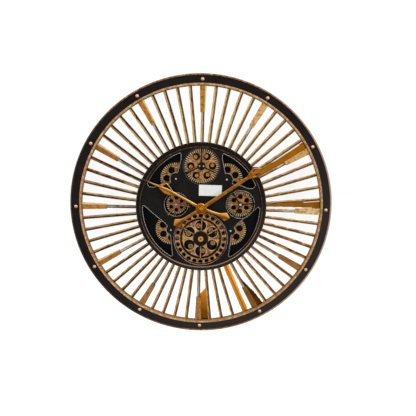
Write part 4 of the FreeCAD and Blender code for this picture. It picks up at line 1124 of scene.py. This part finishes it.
def close_strip(bm, grid, back):
    """Faces of a strip's front, its four sides and its flat back."""
    for lower, upper in zip(grid, grid[1:]):
        for column in range(GLASS_COLUMNS):
            bm.faces.new((lower[column], lower[column + 1], upper[column + 1], upper[column]))
    rim = [grid[0][column] for column in range(GLASS_COLUMNS)]
    rim += [grid[row][-1] for row in range(GLASS_ROWS)]
    rim += [grid[-1][column] for column in range(GLASS_COLUMNS, 0, -1)]
    rim += [grid[row][0] for row in range(GLASS_ROWS, 0, -1)]
    base = [bm.verts.new(Vector((vert.co.x, -back * MM, vert.co.z))) for vert in rim]
    for here in range(len(rim)):
        after = (here + 1) % len(rim)
        bm.faces.new((rim[here], rim[after], base[after], base[here]))
    bm.faces.new(base)


def mirror_strips():
    back, front = height_of("mirror_panels")
    bm = bmesh.new()
    # Layers for the painted warm reflection: its share and its shade.
    layers = [bm.verts.layers.float.new(name) for name in ("reflection_share", "reflection_shade")]
    for strip in range(60):
        close_strip(bm, strip_grid(bm, layers, strip, front - GLASS_SINK), back + 0.05)
    data = finish_mesh(bm, "mirror_strips", smooth_angle=12.0)
    link_mesh("mirror_strips", data, "clock_case", finishes["mirror"], ("mirror_panels",))


# ---------------------------------------------------------------- hands

HAND_VOXEL = 0.42
HAND_SMOOTHING = 4

# Sections are (reach, side, rise, half width, half thickness).
# The hour hand's round rod runs straight on through the leaf and bends into a thin needle.
HOUR_ROD = (
    (3, 0, 0, 4.2, 1.75),
    (30, 0, 0, 3.6, 1.75),
    (70, 0, 0, 3.3, 1.75),
    (90, 0.8, 0, 3.3, 1.75),
    (104, 2.4, 0, 3.0, 1.6),
    (122, 4.8, 0, 2.0, 1.1),
    (140, 6.4, 0, 1.2, 0.8),
    (151.4, 7.0, 0, 0.6, 0.4),
)
# The full lobe of the leaf lies lower than the rod.
HOUR_LEAF = (
    (68, 3.0, -0.5, 2.4, 1.0),
    (78, 5.4, -0.5, 4.6, 1.2),
    (89, 7.2, -0.5, 4.8, 1.25),
    (98, 6.2, -0.4, 4.0, 1.2),
    (106, 4.8, -0.3, 2.2, 1.0),
)
# The thin hook on its other side leaves a three-sided eye.
HOUR_HOOK = (
    (74, -1.4, 0, 1.4, 1.0),
    (80, -4.4, 0, 1.7, 1.3),
    (91, -9.8, 0, 1.7, 1.4),
    (95.5, -10.8, 0, 1.6, 1.4),
    (98, -8.8, 0, 2.6, 1.5),
    (102, -3.2, 0, 4.2, 1.5),
    (108, 1.0, 0, 2.6, 1.3),
)
MINUTE_ROD = (
    (3, 0, 0, 4.4, 1.75),
    (60, 0, 0, 4.0, 1.8),
    (126, 0, 0, 3.7, 1.8),
    (140, 0.3, 0, 4.4, 1.9),
    (150, 0.2, 0, 4.0, 1.9),
    (160, -0.4, 0, 2.6, 1.5),
    (180, -1.4, 0, 1.6, 1.1),
    (205, -2.8, 0, 0.5, 0.4),
)
# One of the two curved sides of the minute hand's open leaf.
MINUTE_LEAF = (
    (128, 2.0, 0, 2.2, 1.2),
    (137, 5.4, 0, 3.0, 1.5),
    (145, 8.6, 0, 2.8, 1.5),
    (150, 8.2, 0, 3.0, 1.5),
    (156, 4.6, 0, 3.4, 1.5),
    (163, 1.4, 0, 2.0, 1.2),
)
# Tails: reach of the widest place and half width there.
HOUR_TAIL = (59.5, 10.8)
MINUTE_TAIL = (64.0, 12.0)


def tail_bone(bm, bearing, height, shoulder, half):
    """The short arm behind the boss, flared to two shoulders and a blunt point."""
    loft(bm, bearing, height, [
        (3, 0, 0, 4.3, 1.75),
        (24, 0, 0, 3.7, 1.75),
        (shoulder - 19, 0, 0, 3.9, 1.75),
        (shoulder - 12, 0, 0, 5.6, 1.8),
        (shoulder - 3, 0, 0, half * 0.92, 1.9),
        (shoulder, 0, 0, half, 1.9),
        (shoulder + 2, 0, 0, half * 0.85, 1.9),
        (shoulder + 9, 0, 0, 2.4, 1.7),
    ])


def cast_hand(bm, hand, body, finish):
    skin = cast_together(finish_mesh(bm, hand + "_rough"), HAND_VOXEL, HAND_SMOOTHING)
    skin.name = hand + "_cast"
    link_mesh(hand + "_cast", skin, body, finish, (hand,))


def hour_hand():
    back, front = height_of("hour_hand")
    middle = (back + front) / 2
    bm = bmesh.new()
    for sections in (HOUR_ROD, HOUR_LEAF, HOUR_HOOK):
        loft(bm, HOUR_BEARING, middle, sections)
    tail_bone(bm, HOUR_TAIL_BEARING, middle, *HOUR_TAIL)
    turned(bm, HUB, [
        (0, back), (11.8, back), (12.6, back + 0.7), (12.6, front - 0.6), (11.8, front), (0, front),
    ])
    cast_hand(bm, "hour_hand", "hour_train", finishes["hand_bronze"])


def minute_hand():
    back, front = height_of("minute_hand")
    middle = (back + front) / 2
    bm = bmesh.new()
    loft(bm, MINUTE_BEARING, middle, MINUTE_ROD)
    for side in (-1, 1):
        sections = [(reach, side * aside, *rest) for reach, aside, *rest in MINUTE_LEAF]
        loft(bm, MINUTE_BEARING, middle, sections)
    tail_bone(bm, MINUTE_TAIL_BEARING, middle, *MINUTE_TAIL)
    turned(bm, HUB, [
        (0, back), (11.8, back), (12.7, back + 0.8), (12.7, front - 1.2), (11.0, front - 0.1),
        (8.9, front), (8.4, front + 0.5), (0, front + 0.5),
    ])
    cast_hand(bm, "minute_hand", "minute_train", finishes["minute_bronze"])


def hand_cap():
    back, front = height_of("hand_cap")
    bm = bmesh.new()
    turned(bm, HUB, [
        (0, back), (7.6, back), (8.0, back + 0.5), (7.7, back + 1.3), (6.9, back + 1.7), (6.0, back + 1.4),
        (5.4, back + 1.5), (5.0, back + 2.2), (4.6, front - 0.9), (3.6, front - 0.3), (2.2, front),
        (0, front),
    ])
    data = finish_mesh(bm, "hand_cap_turned", smooth_angle=50.0)
    finish = finishes["hand_bronze"]
    link_mesh("hand_cap_turned", data, "minute_train", finish, ("hand_cap",))


# ---------------------------------------------------------------- floor

def add_floor():
    bm = bmesh.new()
    bmesh.ops.create_grid(bm, x_segments=8, y_segments=8, size=FLOOR_HALF)
    for vert in bm.verts:
        vert.co.z -= FLOOR_DROP
    data = bpy.data.meshes.new("studio_floor")
    bm.to_mesh(data)
    bm.free()
    floor = new_object("studio_floor", data)
    data.materials.append(floor_finish())


# Widths in millimetres that the corners of CAD nodes are rounded to.
ROUNDED = (
    (0.6, ("outer_ring", "drum_shell")),
    (0.5, ("hour_plates", "minute_bars", "hour_bars")),
    (0.25, (*GEAR_BANDS, "bottom_gear", "bottom_disc", "bottom_planets", "top_bridge", "left_bridge",
            "right_bridge", "cutout_trims", "dial_plate", "bottom_hub", "bottom_arbor")),
)

bpy.context.scene.view_settings.view_transform = "Standard"
add_camera()
add_world()
for light in LIGHTS:
    add_light(*light)
add_floor()
dress_cad_nodes()
mirror_strips()
hour_hand()
minute_hand()
hand_cap()
for width, rounded_nodes in ROUNDED:
    for rounded_node in rounded_nodes:
        soften(rounded_node, width)
